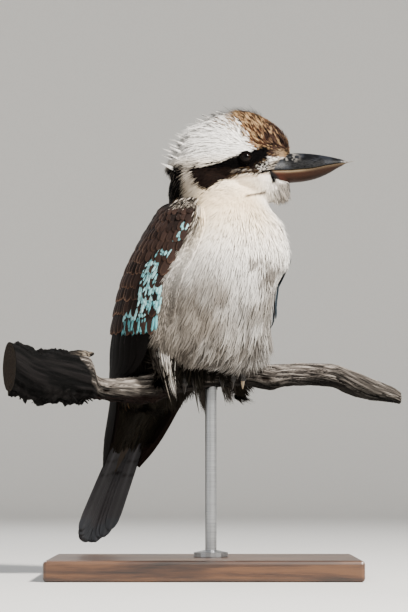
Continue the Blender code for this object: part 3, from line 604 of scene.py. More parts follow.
def dead_wood_finish():
    """Weathered dead wood: grey, dry fibres that run with the branch, open cracks, and rough bark in places."""
    made = new_finish("dead_branch_wood", Roughness=0.92, IOR=1.5, Specular_IOR_Level=0.1)
    grain = add(made, "ShaderNodeAttribute", attribute_name="grain")["Vector"]
    # Fibres show about 0.8 mm wide and 12 mm long
    fibres = blobs(made, grain, (0.08, 1.25, 1.25), Detail=5.0, Roughness=0.65)
    cracks = blobs(made, grain, (0.03, 0.3, 0.3), Detail=6.0, Roughness=0.7, Distortion=0.6)
    stops = ((0.37, (0.1, 0.1, 0.1, 1)), (0.44, (1, 1, 1, 1)))
    dark = add(made, "ShaderNodeValToRGB", {"Fac": cracks}, stops)["Color"]
    wood = shaded_coat(made, fibres, (0.3, 0.7), (0.5, 1.35))
    cut = add(made, "ShaderNodeVectorMath", {0: wood, 1: dark}, operation="MULTIPLY")[0]
    height = add(made, "ShaderNodeMath", {0: fibres, 1: dark}, operation="MULTIPLY")[0]
    return surfaced(made, cut, height, 0.8, 0.9 * MM)


def stand_wood_finish():
    """Dark stained oak under a thin satin varnish: open grain along the board, with a low gloss."""
    made = new_finish("stained_oak", Roughness=0.42, IOR=1.5, Coat_Weight=0.35, Coat_Roughness=0.3)
    place = add(made, "ShaderNodeTexCoord")["Object"]
    # Grain lines lie about 1.6 mm apart and run along X
    lines = blobs(made, place, (40.0, 620.0, 620.0), Detail=6.0, Roughness=0.7)
    figure = blobs(made, place, (6.0, 60.0, 60.0), Detail=3.0, Distortion=1.2)
    both = add(made, "ShaderNodeMath", {0: lines, 1: 0.5, 2: figure}, operation="MULTIPLY_ADD")[0]
    stops = ((0.55, rgba("#1d120c")), (0.72, rgba("#3a2417")), (0.9, rgba("#553822")))
    colour = add(made, "ShaderNodeValToRGB", {"Fac": both}, stops)["Color"]
    return surfaced(made, colour, lines, 0.25, 0.2 * MM)


def stand_steel_finish():
    """Brushed steel rod, turned in a lathe: fine rings round it that spread the highlight sideways."""
    made = new_finish("brushed_steel", Metallic=1.0, Roughness=0.34)
    place = add(made, "ShaderNodeTexCoord")["Object"]
    # Brush lines are about 0.3 mm apart up the rod
    lines = blobs(made, place, (20.0, 20.0, 3300.0), Detail=3.0)
    stops = ((0.3, rgba("#8b8d90")), (0.7, rgba("#b9bbbd")))
    colour = add(made, "ShaderNodeValToRGB", {"Fac": lines}, stops)["Color"]
    return surfaced(made, colour, lines, 0.15, 0.1 * MM, (lines, 0.26, 0.42))


def floor_finish():
    """Seamless studio paper: pale, matt, with only the faintest tooth."""
    made = new_finish("studio_paper", Roughness=0.9)
    place = add(made, "ShaderNodeTexCoord")["Object"]
    tooth = blobs(made, place, (300.0,) * 3, Detail=2.0)
    stops = ((0.3, rgba("#c9c8c5")), (0.7, rgba("#cdccc9")))
    return surfaced(made, add(made, "ShaderNodeValToRGB", {"Fac": tooth}, stops)["Color"])


# Colours of the coat
SNOW = linear("#f6f2ec")
CREAM = linear("#f0e6d8")
WARM = linear("#efd4aa")
ASH = linear("#b1a79b")
SMOKE = linear("#635a52")
MASK = linear("#020101")
UMBER = linear("#17100d")
BROWN = linear("#33241d")
RUST = linear("#452a1a")
BUFF = linear("#9a7d5a")
BLUSH = linear("#8d6e5c")
NAPE = linear("#070505")
TURQUOISE = linear("#66abb2")
PALE_TURQUOISE = linear("#a9dadd")
TEAL = linear("#4c8a91")
RUFOUS = linear("#6f4329")
SLATE = linear("#232c33")
# A dark olive that paints shade and shadow under the bird and its tail
SHADE_OLIVE = linear("#1b1813")
# A dark grey for the tail's underside, darkened by painted shade
LEAD_IN_SHADE = linear("#3d3d40")


def between(along, height, edge_low, edge_top):
    """How far inside a region the points lie, in millimetres: its edges are polylines over along."""
    low = np.interp(along, *zip(*edge_low))
    top = np.interp(along, *zip(*edge_top))
    ends = np.minimum(along - edge_low[0][0], edge_low[-1][0] - along)
    return np.minimum(np.minimum(top - height, height - low), ends)


# The head's markings, as heights over places along the head's axis
MASK_TOP = ((-29, -12.8), (-27, -11.6), (-9.5, -9.8), (-2.8, -8), (7, -5), (17, 0), (24.6, 1.8), (31.5, 4.8), (39, 7))
MASK_LOW = (
    (-29, -14), (-27, -14.5), (-25, -19), (-22.8, -24.6), (-20.3, -30.8), (-12.9, -35.7), (-7.8, -32),
    (-0.4, -27.1), (7.1, -23.4), (17, -19.9), (29.3, -19.7), (31.5, -17.2), (39, -17),
)
EYE_PATCH_LOW = ((-29, -13.6), (-9.5, -12.8), (12, -13.7), (24.6, -12.4), (29.3, -8.7), (34.8, -5.1), (44.7, -3.8))
LORES_TOP = ((28.2, -11.6), (29.3, -10.6), (31.5, -8.4), (41.5, -5), (46, -5))
LORES_LOW = ((28.2, -13), (29.3, -14.8), (33.3, -17.1), (38, -14.9), (42.3, -12.2), (46, -8))
# The cap's edge, in degrees from the crown
CAP_EDGE = (
    (-50, 4), (-36, 14), (-20, 32), (-8, 45), (4, 52), (14, 57), (20, 67), (25, 82), (30, 98), (40, 112),
    (56, 112),
)


def breast_turn(forward, out, rise):
    """Degrees round the trunk from the breast line: positive on the bird's left, 180 on the spine."""
    centre = np.interp(rise, [row[2] for row in TRUNK_ROWS], [row[1] for row in TRUNK_ROWS])
    return np.degrees(np.arctan2(out, forward - centre))


def coat_colours(points, dice):
    """The coat's colour at points of the skin. Dice are random values from 0 to 1 that fray the borders."""
    along, left, up = to_head(points)
    forward, out, rise = to_bird(points)
    turn = breast_turn(forward, out, rise)
    second, third = (dice * 7.31) % 1, (dice * 3.77) % 1
    fray = (dice - 0.5) * 3.0
    blotch = cloud(points, 15.0, 3)
    fine = cloud(points, 4.0, 8)

    colour = np.broadcast_to(SNOW, points.shape).copy()
    # Warm throat and upper breast on the side of the raised wing, whiter across and below
    colour = mix(colour, CREAM, soft((40 - turn) / 50) * soft((rise - 70) / 40))
    warm = soft(1 - np.abs(rise - 138) / 44) * soft((40 - turn) / 50)
    colour = mix(colour, WARM, 0.85 * warm * soft((forward - 14) / 24))
    # Smoky bases show through the belly's down, more towards the wing and the legs, and painted shade greys it there
    # too and darkens the belly towards the bottom
    low = soft((106 - rise) / 66)
    side = soft((-turn + 4) / 62)
    strands = cloud(points * np.array([1, 1, 0.3]), 6.0, 12)
    colour = mix(colour, ASH, low * np.clip(0.4 + 0.6 * side + 1.2 * (blotch - 0.42), 0, 1))
    colour = mix(colour, SMOKE, low * np.clip(0.15 + 0.4 * side + 1.7 * (strands - 0.5), 0, 0.6))
    colour = mix(colour, SMOKE * 0.6, 0.8 * soft((24 - rise) / 18) * soft((fine - 0.3) * 3))
    # Painted shade: the whole belly darker towards the bottom
    colour = colour * (1 - 0.48 * low)[..., None]
    flank = soft(1.3 - np.abs(turn + 1) / 25) * soft(1.3 - np.abs(rise - 79 + 0.5 * turn) / 16)
    colour = mix(colour, SMOKE * 0.6, 0.8 * flank * soft((0.5 * blotch + 0.7 * fine - 0.5) * 7))
    # Speckled edge where the breast meets the shoulder
    speckle = soft((-turn - 54) / 14) * soft(1.2 - np.abs(rise - 132) / 16) * (second > 0.45)
    colour = mix(colour, SMOKE * 0.3, 0.85 * speckle)
    # Painted shadow under the belly, round the branch, and painted shade low on the flank by the wing
    colour = mix(colour, SHADE_OLIVE, soft((-2 - rise) / 6))
    colour = mix(colour, SHADE_OLIVE * 0.6, soft((-turn - 52) / 10) * soft((26 - rise) / 10))
    # Back
    back = soft((np.abs(turn) - 98 + fray * 2) / 8) * soft((146 - rise + fray) / 5)
    colour = mix(colour, mix(UMBER, BROWN, fine), back * (rise > -22))

    is_head = (np.linalg.norm(points - HEAD_AT, axis=-1) < 72) & (up > -50)
    colour = mix(colour, SNOW, soft((up + 10) / 12) * is_head)
    # Painted shade on white feathers: a grey band between ear and nape, and on the chin under the bill, grey with
    # thin dark strands
    band = soft((-14 - along) / 10) * soft((-3 - up) / 10) * soft((up + 52) / 12)
    colour = mix(colour, mix(ASH * 0.8, SMOKE * 0.7, fine), 0.75 * band * is_head)
    chin = soft((along - 30) / 18) * soft((-19 - up) / 8) * soft((up + 48) / 8) * is_head
    colour = mix(colour, mix(ASH * 0.5, SMOKE * 0.16, second > 0.66), 0.95 * chin * (third < 0.3 + 0.8 * chin))
    # Dark hind neck
    hind = soft((np.abs(turn) - 86 + fray * 2) / 7) * soft((rise - 138 + fray) / 4) * soft((-7 - up + fray) / 4)
    colour = mix(colour, mix(NAPE, SMOKE, 0.8 * (third > 0.86)), hind)
    # Cap, finely streaked black, rusty brown and buff, with looser streaks on white behind it
    from_crown = np.degrees(np.arctan2(np.abs(left), up + 1))
    edge = np.interp(along, *zip(*CAP_EDGE))
    cap = soft((edge - from_crown + fray * 9) / 7) * soft((up + 5 + fray * 0.9) / 3) * is_head
    swept = np.stack([0.77 * along + 0.64 * up, left, 0.16 * (0.77 * up - 0.64 * along)], -1)
    streak = 0.4 * cloud(swept, 1.2, 21) + 0.6 * second
    middle = soft((42 - along) / 16)
    brown = mix(UMBER * 0.5, BROWN * 1.25, soft((streak - 0.34) * 4))
    brown = mix(brown, RUST * 1.3, 0.7 * middle * soft((third - 0.45) * 6))
    brown = mix(brown, BUFF * 1.15, soft((streak + 0.26 * middle - 0.7) * 6) * 0.85)
    rusty = soft(1.3 - np.abs(edge - from_crown - 9) / 9) * soft((along - 12) / 10)
    brown = mix(brown, RUST * 1.9, 0.6 * rusty * (third > 0.3))
    behind = soft((10 - along) / 18)
    thin = cloud(swept, 1.7, 30)
    cap = cap * (1 - behind * (0.5 * third + 0.5 * thin < 0.56 + 0.1 * soft((-8 - along) / 12)))
    brown = mix(brown, UMBER * 0.7, behind * 0.8)
    colour = mix(colour, brown, cap)
    # Mask round the eye and over the ear, blacker in the stripe that holds the eye
    inside = between(along, up, MASK_LOW, MASK_TOP)
    loose = 1.0 + 1.6 * soft((6 - along) / 14)
    mask = soft((inside + np.maximum(fray * loose, -0.8)) / 1.6) * is_head * (np.abs(left) > 6)
    stripe = soft((between(along, up, EYE_PATCH_LOW, MASK_TOP) + 1.5 + fray * 0.6) / 2)
    ear = mix(mix(UMBER, BROWN, fine * second) * 0.42, BUFF * 0.55, 0.45 * soft((along - 4) / 8) * (third > 0.8))
    colour = mix(colour, mix(ear, MASK, stripe), mask)
    rim = soft(1 - np.abs(inside + 0.6) / 1.3) * soft((along - 2) / 5) * (up < -15)
    colour = mix(colour, BUFF * 0.8, 0.7 * rim * is_head)
    line = soft(1.2 - np.abs(up + 16.0 - 0.06 * (along - 10)) / 0.9) * soft((along - 6) / 6) * soft((28 - along) / 5)
    colour = mix(colour, ASH * 0.8, 0.6 * line * (second > 0.3) * is_head)
    lores = soft((between(along, up, LORES_LOW, LORES_TOP) + fray * 0.3) / 1.1) * is_head
    scaly = mix(mix(SNOW, ASH, third) * 0.6, SMOKE * 0.07, second > 0.4)
    colour = mix(colour, scaly, lores)
    # Bare, blackish skin at the corner of the bill
    gape = soft(1.3 - np.abs(up + 17.4 - 0.42 * (along - 32)) / 1.3) * soft((along - 28.5) / 2)
    corner = soft((along - 38.5 + 0.3 * (up + 22)) / 2) * soft((45 - along) / 3)
    corner = corner * soft((-15.5 - up) / 2) * soft((up + 26) / 2)
    colour = mix(colour, MASK, np.maximum(gape, corner) * is_head)
    brow = soft(1.3 - np.hypot((along - 48) / 6, (up - 1) / 4)) * is_head
    colour = mix(colour, mix(BUFF, SMOKE, fine), 0.85 * brow * (second > 0.3))
    # Painted shade in the fold of the throat behind the chin
    fold = soft(1.3 - np.abs(up + 38 - (along - 21) * 0.38) / 1.5) * soft((along - 18) / 3) * soft((37 - along) / 3)
    colour = mix(colour, BROWN * 0.8, 0.9 * fold * is_head)
    return colour


# Skin


def head_depth(along, angle):
    """How deep the skin lies under the head's outline: deeper under the long plumes of the hind crown."""
    plume = soft((18 - along) / 50) * soft((np.cos(angle) + 0.25) / 0.8)
    return FACE_COAT + 4.0 * plume + 4.5 * plume * soft((-18 - along) / 22)


def make_skin(finish):
    """Head, neck, trunk and thighs as one skin, which lies under the coat."""
    shells = []
    places = np.linspace(0, 11, 67)
    turns = 2 * np.pi * np.arange(72) / 72
    depth = np.interp(places, (0, 1.5), (1.2, BODY_COAT))
    shells.append(tube_mesh(trunk_at(places[:, None], turns[None], -depth[:, None])))
    steps = -np.cos(np.linspace(0.12, np.pi - 0.12, 48))
    along = (1.5 + 52.5 * steps)[:, None]
    shells.append(tube_mesh(head_at(along, turns[None], -head_depth(along, turns[None]))))
    for name, side in SIDES.items():
        rings = []
        for up, radius in THIGH_ROWS[:-1]:
            reach = max(radius - 2.2, 0.8)
            across = side * THIGH_AT[1] + reach * np.sin(turns[::3])
            rings.append(bird(THIGH_AT[0] + reach * np.cos(turns[::3]), across, up + THIGH_LIFT[name] + 4))
        shells.append(tube_mesh(np.array(rings)[::-1]))
    skin = turned_outwards(mesh_piece("skin", *joined(shells), finish, "plumage"))
    mould = skin.modifiers.new("mould", "REMESH")
    mould.mode = "VOXEL"
    mould.voxel_size = 2.0 * MM
    relax = skin.modifiers.new("relax", "SMOOTH")
    relax.factor = 0.5
    relax.iterations = 8
    result = bpy.data.meshes.new_from_object(skin.evaluated_get(bpy.context.evaluated_depsgraph_get()))
    skin.modifiers.clear()
    skin.data = result
    result.materials.clear()
    result.materials.append(finish)
    fill_throat(skin)
    coords = clear_of_perch(pinched(read(result.vertices, "co", 3) / MM), 0.3)
    result.vertices.foreach_set("co", (coords * MM).ravel())
    result.update()
    result.shade_smooth()
    paint(result, coat_colours(coords, np.full(len(coords), 0.5)))
    unwrap(skin)
    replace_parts(skin, "head", "neck", "torso", "thigh_left", "thigh_right")
    return skin


def pinched(points):
    """Draws the face in beside the bill, so that the bill's broad base shows, and slims the far flank."""
    along, left, up = to_head(points)
    pinch = 0.3 * soft((along - 31) / 13) * soft((-2 - up) / 8) * soft((up + 36) / 9)
    _, out, _ = to_bird(points)
    return slimmed(of_head(along, left * (1 - pinch), up), soft((out - 5) / 30))


def fill_throat(skin):
    """Eases the fold between head and neck, so that the coat runs on over it."""
    along, _, up = to_head(read(skin.data.vertices, "co", 3) / MM)
    strength = soft(1 - np.abs(up + 42) / 16) * soft((50 - along) / 8)
    group = skin.vertex_groups.new(name="throat")
    for step in range(1, 5):
        group.add(np.flatnonzero(np.round(strength * 4) == step).tolist(), step / 4, "REPLACE")
    ease = skin.modifiers.new("ease", "SMOOTH")
    ease.factor = 0.5
    ease.iterations = 70
    ease.vertex_group = "throat"
    bpy.context.view_layer.objects.active = skin
    bpy.ops.object.modifier_apply(modifier="ease")
    skin.vertex_groups.clear()


def unwrap(made):
    """Gives a mesh an unwrap of its own shape, named OFBake."""
    made.data.uv_layers.new(name="OFBake")
    bpy.context.view_layer.objects.active = made
    for other in bpy.context.selected_objects:
        other.select_set(False)
    made.select_set(True)
    bpy.ops.object.mode_set(mode="EDIT")
    bpy.ops.mesh.select_all(action="SELECT")
    bpy.ops.uv.smart_project(angle_limit=math.radians(66), island_margin=0.004)
    bpy.ops.object.mode_set(mode="OBJECT")


def skin_sites(skin):
    """The skin's triangles as arrays: corners, their normals and their places on the unwrap."""
    mesh = skin.data
    mesh.calc_loop_triangles()
    corners, loops = (read(mesh.loop_triangles, key, 3, int) for key in ("vertices", "loops"))
    points, normals = read(mesh.vertices, "co", 3) / MM, read(mesh.vertices, "normal", 3)
    return points[corners], normals[corners], read(mesh.uv_layers["OFBake"].uv, "vector", 2)[loops]


class Roots:
    """Where tufts grow: their points on the skin, its normals and places on the unwrap, and random values."""

    def __init__(self, points, normals, places, draw):
        self.points, self.normals, self.places, self.draw = points, normals, places, draw
        self.along, self.left, self.up = to_head(points)
        self.forward, self.out, self.rise = to_bird(points)
        self.turn = breast_turn(self.forward, self.out, self.rise)
        self.on_head = (self.up > -46) & (np.linalg.norm(points - HEAD_AT, axis=-1) < 66)

    def only(self, chosen):
        return Roots(self.points[chosen], self.normals[chosen], self.places[chosen], self.draw)


def sow(sites, density, draw):
    """Random roots over the skin: density gives how many a square millimetre has at each place."""
    corners, normals, places = sites
    area = np.linalg.norm(np.cross(corners[:, 1] - corners[:, 0], corners[:, 2] - corners[:, 0]), axis=1) / 2
    middles = Roots(corners.mean(1), unit(normals.mean(1)), places.mean(1), draw)
    wanted = area * density(middles)
    chosen = np.repeat(np.arange(len(area)), np.floor(wanted + draw.random(len(area))).astype(int))
    a, b = draw.random(len(chosen)), draw.random(len(chosen))
    over = a + b > 1
    a, b = np.where(over, 1 - a, a), np.where(over, 1 - b, b)
    weights = np.stack([1 - a - b, a, b], 1)[:, :, None]
    points = (corners[chosen] * weights).sum(1)
    return Roots(points, unit((normals[chosen] * weights).sum(1)), (places[chosen] * weights).sum(1), draw)


def apart(points, gap):
    """Which of the points stay when each keeps a gap from those kept before it."""
    kept, cells = [], {}
    for i, point in enumerate(points):
        cell = tuple((point // gap).astype(int))
        near = (
            cells.get((cell[0] + x, cell[1] + y, cell[2] + z), ())
            for x in (-1, 0, 1)
            for y in (-1, 0, 1)
            for z in (-1, 0, 1)
        )
        if all(np.dot(point - points[j], point - points[j]) > gap * gap for some in near for j in some):
            kept.append(i)
            cells.setdefault(cell, []).append(i)
    return np.array(kept)


HEAD_BACK = of_head(-1, 0, 0) - of_head(0, 0, 0)
HEAD_LEFT = of_head(0, 1, 0) - of_head(0, 0, 0)
BODY_BACK = bird(-1, 0, 0) - bird(0, 0, 0)


def lie_of_coat(roots):
    """The way that the coat lies: back over the head, down over the neck and body."""
    crown = soft((roots.up - 2) / 26)
    raised = 0.62 * crown - 0.06 + 1.0 * soft((roots.along + 4) / 26) * soft((roots.up - 4) / 8)
    on_head = HEAD_BACK + raised[:, None] * UP
    on_head = on_head + 0.15 * np.sign(roots.left)[:, None] * HEAD_LEFT
    face = HEAD_BACK * 0.8 - UP * 0.6
    chin = -UP - 0.35 * HEAD_BACK
    body = -UP + 0.3 * BODY_BACK
    lie = mix(body, body + 0.3 * BODY_BACK, soft(np.abs(roots.out) / 50))
    lie = mix(lie, face, soft((roots.up + 52) / 22))
    lie = mix(lie, on_head, soft((roots.up + 22) / 14))
    lie = mix(lie, chin, soft((roots.along - 30) / 10) * soft((-20 - roots.up) / 6))
    # Behind the head the coat turns down over the neck
    lie = mix(lie, -UP + 0.25 * HEAD_BACK, soft((-34 - roots.along) / 12) * soft((-6 - roots.up) / 8))
    lie = lie - (lie * roots.normals).sum(-1, keepdims=True) * roots.normals
    return unit(lie)


def locks(roots, lies, gap, strength):
    """Draws the tips of neighbouring tufts together into pointed locks; also numbers each tuft's lock."""
    centres = roots.points[apart(roots.points, gap)]
    cell = np.empty(len(roots.points), int)
    for start in range(0, len(cell), 4000):
        block = roots.points[start : start + 4000]
        cell[start : start + 4000] = ((centres**2).sum(1)[None] - 2 * block @ centres.T).argmin(1)
    offset = centres[cell] - roots.points
    offset = offset - (offset * roots.normals).sum(-1, keepdims=True) * roots.normals
    offset = offset - (offset * lies).sum(-1, keepdims=True) * lies
    return offset * strength[:, None], cell


def tufts(name, roots, finish, length, half, rise, pull, colours, edge=None, droop=0.14, stations=4, columns=3,
          outline=(0.5, 1, 0.8, 0.1), stray=0.07, tilt=0.14, shade=0.8, relief=0.25):
    """One joined mesh of tufts on the skin, each a thin blade that tapers to a point.

    length, half and rise are each tuft's length, half width and slope off the skin, and pull moves its tip.
    droop bends tips back to the skin, edge colours their rims, stray and tilt are how unevenly they lie, shade
    is how much darker their roots are, partly the feathers' greyer bases and partly painted shade among the
    tufts, and relief how much a tuft catches the light on its own.
    """
    points, normals, draw = roots.points, roots.normals, roots.draw
    count = len(points)
    share = np.linspace(0, 1, stations)
    down_it = share[:, None]
    lies = unit(lie_of_coat(roots) + draw.normal(0, stray, (count, 3)))
    reach = (length * draw.uniform(0.78, 1.15, count))[:, None, None]
    droop = np.broadcast_to(droop, count)[:, None, None]
    lift = rise[:, None, None] * down_it - droop * down_it**2
    emerging = 0.5 - 1.3 * (1 - down_it) ** 3
    middles = points[:, None] + lies[:, None] * reach * down_it + pull[:, None] * down_it**2
    middles = clear_of_perch(middles + normals[:, None] * (reach * lift + emerging), 0.4)
    facing = unit(normals + draw.normal(0, tilt, (count, 3)))[:, None]
    width = half * draw.uniform(0.8, 1.2, count)
    width = width[:, None] * np.interp(share, np.linspace(0, 1, len(outline)), outline)
    mesh_points, faces, across, down = blades(middles, facing, width, columns=columns)
    # Roots darker: the feathers' greyer bases, with painted shade among the tufts
    shown = mix(shade * colours[:, None, None], colours[:, None, None], soft(down * 1.6))
    if edge is not None:
        rim = soft((np.maximum(np.abs(across), down * 1.02) - 0.72) / 0.22)
        shown = mix(shown, edge[:, None, None], rim)
    patches = tuft_patches(roots.places, across, down)
    made = mesh_piece(name, mesh_points, faces, finish, "plumage", shown, patches)
    # Down takes the light as one soft surface, so a tuft's normals lean towards the skin's
    whole = np.repeat(normals, stations * columns, axis=0)
    leaning = unit(relief * read(made.data.vertices, "normal", 3) + whole)
    made.data.normals_split_custom_set_from_vertices(leaning.tolist())


def under_wing(roots, margin):
    """Whether places on the trunk lie under a folded wing, more than a margin inside its edges."""
    centre, _, rear, front = eased(WING_ROWS, roots.rise)
    reach = far_reach(roots.rise)
    front = front + np.where(roots.out > 0, (front - rear) * reach + 9 * (reach > 0.02), 0)
    angle = np.degrees(np.arctan2(np.abs(roots.out), centre - roots.forward))
    return (angle > rear + margin) & (angle < front - margin) & (roots.rise > -20) & (roots.rise < 132)


def feather_points(roots, length, share=0.6):
    """Where the middles of tufts come to lie, which is where their colours show."""
    return roots.points + lie_of_coat(roots) * (length * share)[:, None]


def make_head_coat(sites, finish):
    """Short, dense feathers on the face, streaked ones on the cap, and long plumes behind it."""
    draw = np.random.default_rng(21)

    def density(roots):
        eye = np.hypot(roots.along - EYE_AT[0], roots.up - EYE_AT[2]) < EYE_RADIUS - 1.2
        bill = (roots.along > 47) & (roots.up < 0) & (roots.up > -23) & (np.abs(roots.left) < 13)
        amount = 1.0 + 0.8 * soft((roots.along - 4) / 24)
        return np.where(roots.on_head & ~eye & ~bill, amount, 0)

    roots = sow(sites, density, draw)
    dice = draw.random(len(roots.points))
    crown = soft((roots.up - 2) / 22)
    back = soft((16 - roots.along) / 42)
    chin = soft((roots.along - 34) / 10) * soft((-24 - roots.up) / 5)
    cap = soft((roots.along - 2) / 14) * soft((roots.up - 3) / 6)
    hind = back * soft((roots.up + 8) / 16)
    face = soft((roots.along - 16) / 22) * (1 - cap)
    length = 6.4 + 9 * crown * back + 5 * hind + 3.4 * back - 2.6 * face + 5.5 * chin + 1.5 * cap
    rise = 0.14 + 0.1 * hind + 0.02 * back + 0.3 * chin + 0.12 * cap
    droop = 0.14 + 0.24 * hind
    half = 0.34 + 0.1 * back + 0.08 * cap
    colours = coat_colours(feather_points(roots, length), dice)
    colours = colours * draw.uniform(0.93, 1.04, len(dice))[:, None]
    gather = 0.2 + 0.75 * hind + 0.3 * chin
    pull, lock = locks(roots, lie_of_coat(roots), 5.5, gather)
    longer = draw.uniform(0.7, 1.5, lock.max() + 1)[lock]
    rise = rise + hind * draw.uniform(-0.1, 0.24, lock.max() + 1)[lock] ** 3 * 12
    length = length * mix(np.ones(1), longer[:, None], 0.3 + 0.7 * hind)[:, 0]
    high, front, left = roots.up > 6, roots.along > 8, roots.left > 0
    parts = {
        "crown_feathers": high & front,
        "plumes_left": high & ~front & left,
        "plumes_right": high & ~front & ~left,
        "face_feathers_left": ~high & left,
        "face_feathers_right": ~high & ~left,
    }
    for name, chosen in parts.items():
        values = [value[chosen] for value in (length, half, rise, pull, colours)]
        shape = {"relief": 0.45 if name == "crown_feathers" else 0.25, "stations": 3 if "face" in name else 4}
        tufts(name, roots.only(chosen), finish, *values, droop=droop[chosen], shade=0.86, **shape)
    # Thin dark hairs that stand up along the top of the head
    top = (roots.up > 24) & (np.abs(roots.left) < 17) & (roots.along > -32) & (roots.along < 34)
    hairs = roots.only(np.flatnonzero(top)[::13])
    none = 0 * hairs.points
    values = [value + none[:, 0] for value in (13.0, 0.3, 0.42)]
    tufts("crown_hairs", hairs, finish, *values, none, none + UMBER * 0.5, stray=0.12)


# Tips of the crest's spikes along the top and back of the head, and how far they stand to each side
SPIKE_TIPS = ((-57, 3), (-54.5, 10), (-50.5, 16), (-46.5, 22), (-37, 27.5), (-30, 33.5), (-20.5, 39), (-12, 41))
SPIKE_LEFTS = (-24, -13, -5, 3, 12, 24)


def make_spikes(finish):
    """The longest plumes, which lie together in sharp spikes that stand out behind and above the head."""
    draw = np.random.default_rng(28)
    each = 46
    places = [(along + 0.14 * abs(left), left, up - left**2 / 58) for along, up in SPIKE_TIPS for left in SPIKE_LEFTS]
    places = np.array(places) + draw.normal(0, 1.1, (len(places), 3))
    groups = len(places)
    tip = of_head(*places.T)
    sideways = 0.012 * places[:, 1:2] * HEAD_LEFT
    way = unit(0.9 * HEAD_BACK + 0.38 * UP + sideways)
    root = tip - way * draw.uniform(26, 34, groups)[:, None]
    outward = unit(UP + 0.5 * HEAD_BACK + 2.2 * sideways)
    shift = draw.normal(0, 1, (groups, each, 1)) * 2.6 * unit(np.cross(outward, way))[:, None]
    start = root[:, None] + shift + draw.normal(0, 1, (groups, each, 3)) * 1.0
    end = tip[:, None] + 0.14 * shift + draw.normal(0, 1, (groups, each, 3)) * 0.3
    run = ((end - start) * draw.uniform(0.76, 1.04, (groups, each, 1))).reshape(-1, 1, 3)
    middles = start.reshape(-1, 1, 3) + run * np.linspace(0, 1, 5)[:, None]
    count = len(middles)
    facing = unit(np.repeat(outward, each, 0) + 0.3 * draw.normal(0, 1, (count, 3)))
    half = draw.uniform(0.4, 0.6, count)[:, None] * np.array([0.6, 1, 0.9, 0.6, 0.12])
    points, faces, x, s = blades(middles, facing[:, None], half)
    tone = draw.uniform(0.0, 0.25, (count, 1, 1))
    # Roots greyer and darker than the white tips, with a random grey tone: painted shade where the spikes rise out of
    # the plumes
    colours = mix(mix(SNOW, ASH, tone) * 0.8, SNOW, soft(s * 1.5))
    on_top = np.repeat(places[:, 0] > -24, each) & (draw.random(count) < 0.3)
    colours = np.where(on_top[:, None, None, None], UMBER, colours)
    roots = np.repeat(0.5 + places[:, 1::-1] * 0.007, each, 0) + draw.uniform(-0.01, 0.01, (count, 2))
    mesh_piece("plume_spikes", points, faces, finish, "plumage", colours, tuft_patches(roots, x, s))


def make_bristles(finish):
    """Short bristly feathers that lap over the base of the bill, so that it grows out of the face."""
    draw = np.random.default_rng(25)
    count = 900
    angle = draw.uniform(0.02, np.pi - 0.02, count)
    start = 38.5 + 9.5 * np.sin(angle) ** 1.3 + draw.normal(0, 1.1, count)
    share = np.linspace(0, 1, 4)[None]
    along = start[:, None] - 3 + draw.uniform(3.5, 6.5, count)[:, None] * share
    ridge, mouth, _, wide, _ = eased(BILL_ROWS, along)
    wide = wide * (1 + 0.24 * soft((58 - along) / 22))
    lift = 0.2 + 0.9 * share + draw.uniform(-0.3, 0.3, count)[:, None]
    c, s = np.cos(angle)[:, None], np.sin(angle)[:, None]
    middles = of_head(along, (wide + lift) * c, mouth + (ridge - mouth + lift) * s**1.15)
    half = draw.uniform(0.25, 0.45, count)[:, None] * np.array([0.6, 1, 0.8, 0.1])
    points, faces, x, down = blades(middles, of_head(0, c, s) - of_head(0, 0, 0), half)
    tone = draw.random((count, 1, 1))
    top = soft((s - 0.55) / 0.25)[..., None]
    pale = mix(ASH * 0.8, SMOKE * 0.1, soft((tone - 0.35) * 3))
    colours = mix(pale, mix(BUFF, UMBER, soft((tone - 0.3) * 2)), top)
    places = np.stack([0.02 + 0.96 * angle / np.pi, 0.5 + 0.04 * (start - 43)], -1)
    mesh_piece("bill_bristles", points, faces, finish, "plumage", colours, tuft_patches(places, x, down))


def make_body_coat(sites, finish):
    """Long, soft feathers on breast and belly, in loose locks lower down, with a ragged fringe over the feet."""
    draw = np.random.default_rng(22)

    def density(roots):
        back = (np.abs(roots.turn) > 104) & (roots.rise < 138) & (roots.rise > -20)
        return np.where(~roots.on_head & ~back & ~under_wing(roots, 8), 0.95, 0)

    roots = sow(sites, density, draw)
    dice = draw.random(len(roots.points))
    low = soft((92 - roots.rise) / 70)
    thigh = (roots.rise < 2) & (roots.forward > -8)
    shank = np.where(roots.out < 0, 19, 11)
    length = 12 + 6 * low + 3 * soft((30 - roots.rise) / 18) * soft((70 - np.abs(roots.turn)) / 20)
    length = np.where(thigh, shank, length)
    rise = 0.09 + 0.1 * low
    half = 0.46 + 0.1 * low
    colours = coat_colours(feather_points(roots, length), dice)
    pull, lock = locks(roots, lie_of_coat(roots), 8.0, 0.15 + 0.55 * low)
    tone = draw.uniform(0.82, 1.06, lock.max() + 1)[lock] * draw.uniform(0.95, 1.04, len(dice))
    colours = colours * mix(np.ones(1), tone[:, None], 0.15 + 0.7 * low)
    # Beyond the far thigh the fringe hangs straight down
    hanging = soft((40 - roots.rise) / 22) * soft((roots.turn - 2) / 14) * soft((76 - roots.turn) / 16)
    pull = pull + hanging[:, None] * np.array([11.0, 0, -2.0])
    sides = thigh * (roots.out < 0) * soft((np.abs(roots.turn + 80) - 12) / 10)
    colours = mix(colours, SMOKE * 0.2, 0.85 * sides)
    length = length * draw.uniform(0.85, 1.15, lock.max() + 1)[lock]
    shades = {"breast": 0.95, "belly": 0.86, "fringe": 0.6}
    bands = {"breast": (92, 999), "belly": (36, 92), "fringe": (-999, 36)}
    for name, side in SIDES.items():
        for part, (bottom, top) in bands.items():
            chosen = (roots.out * side > 0) & (roots.rise > bottom) & (roots.rise <= top)
            values = [value[chosen] for value in (length, half, rise, pull, colours)]
            shape = {"shade": shades[part], "droop": 0.14 + 0.2 * low[chosen], "relief": 0.16, "stray": 0.1}
            tufts(f"{part}_feathers_{name}", roots.only(chosen), finish, *values, **shape)


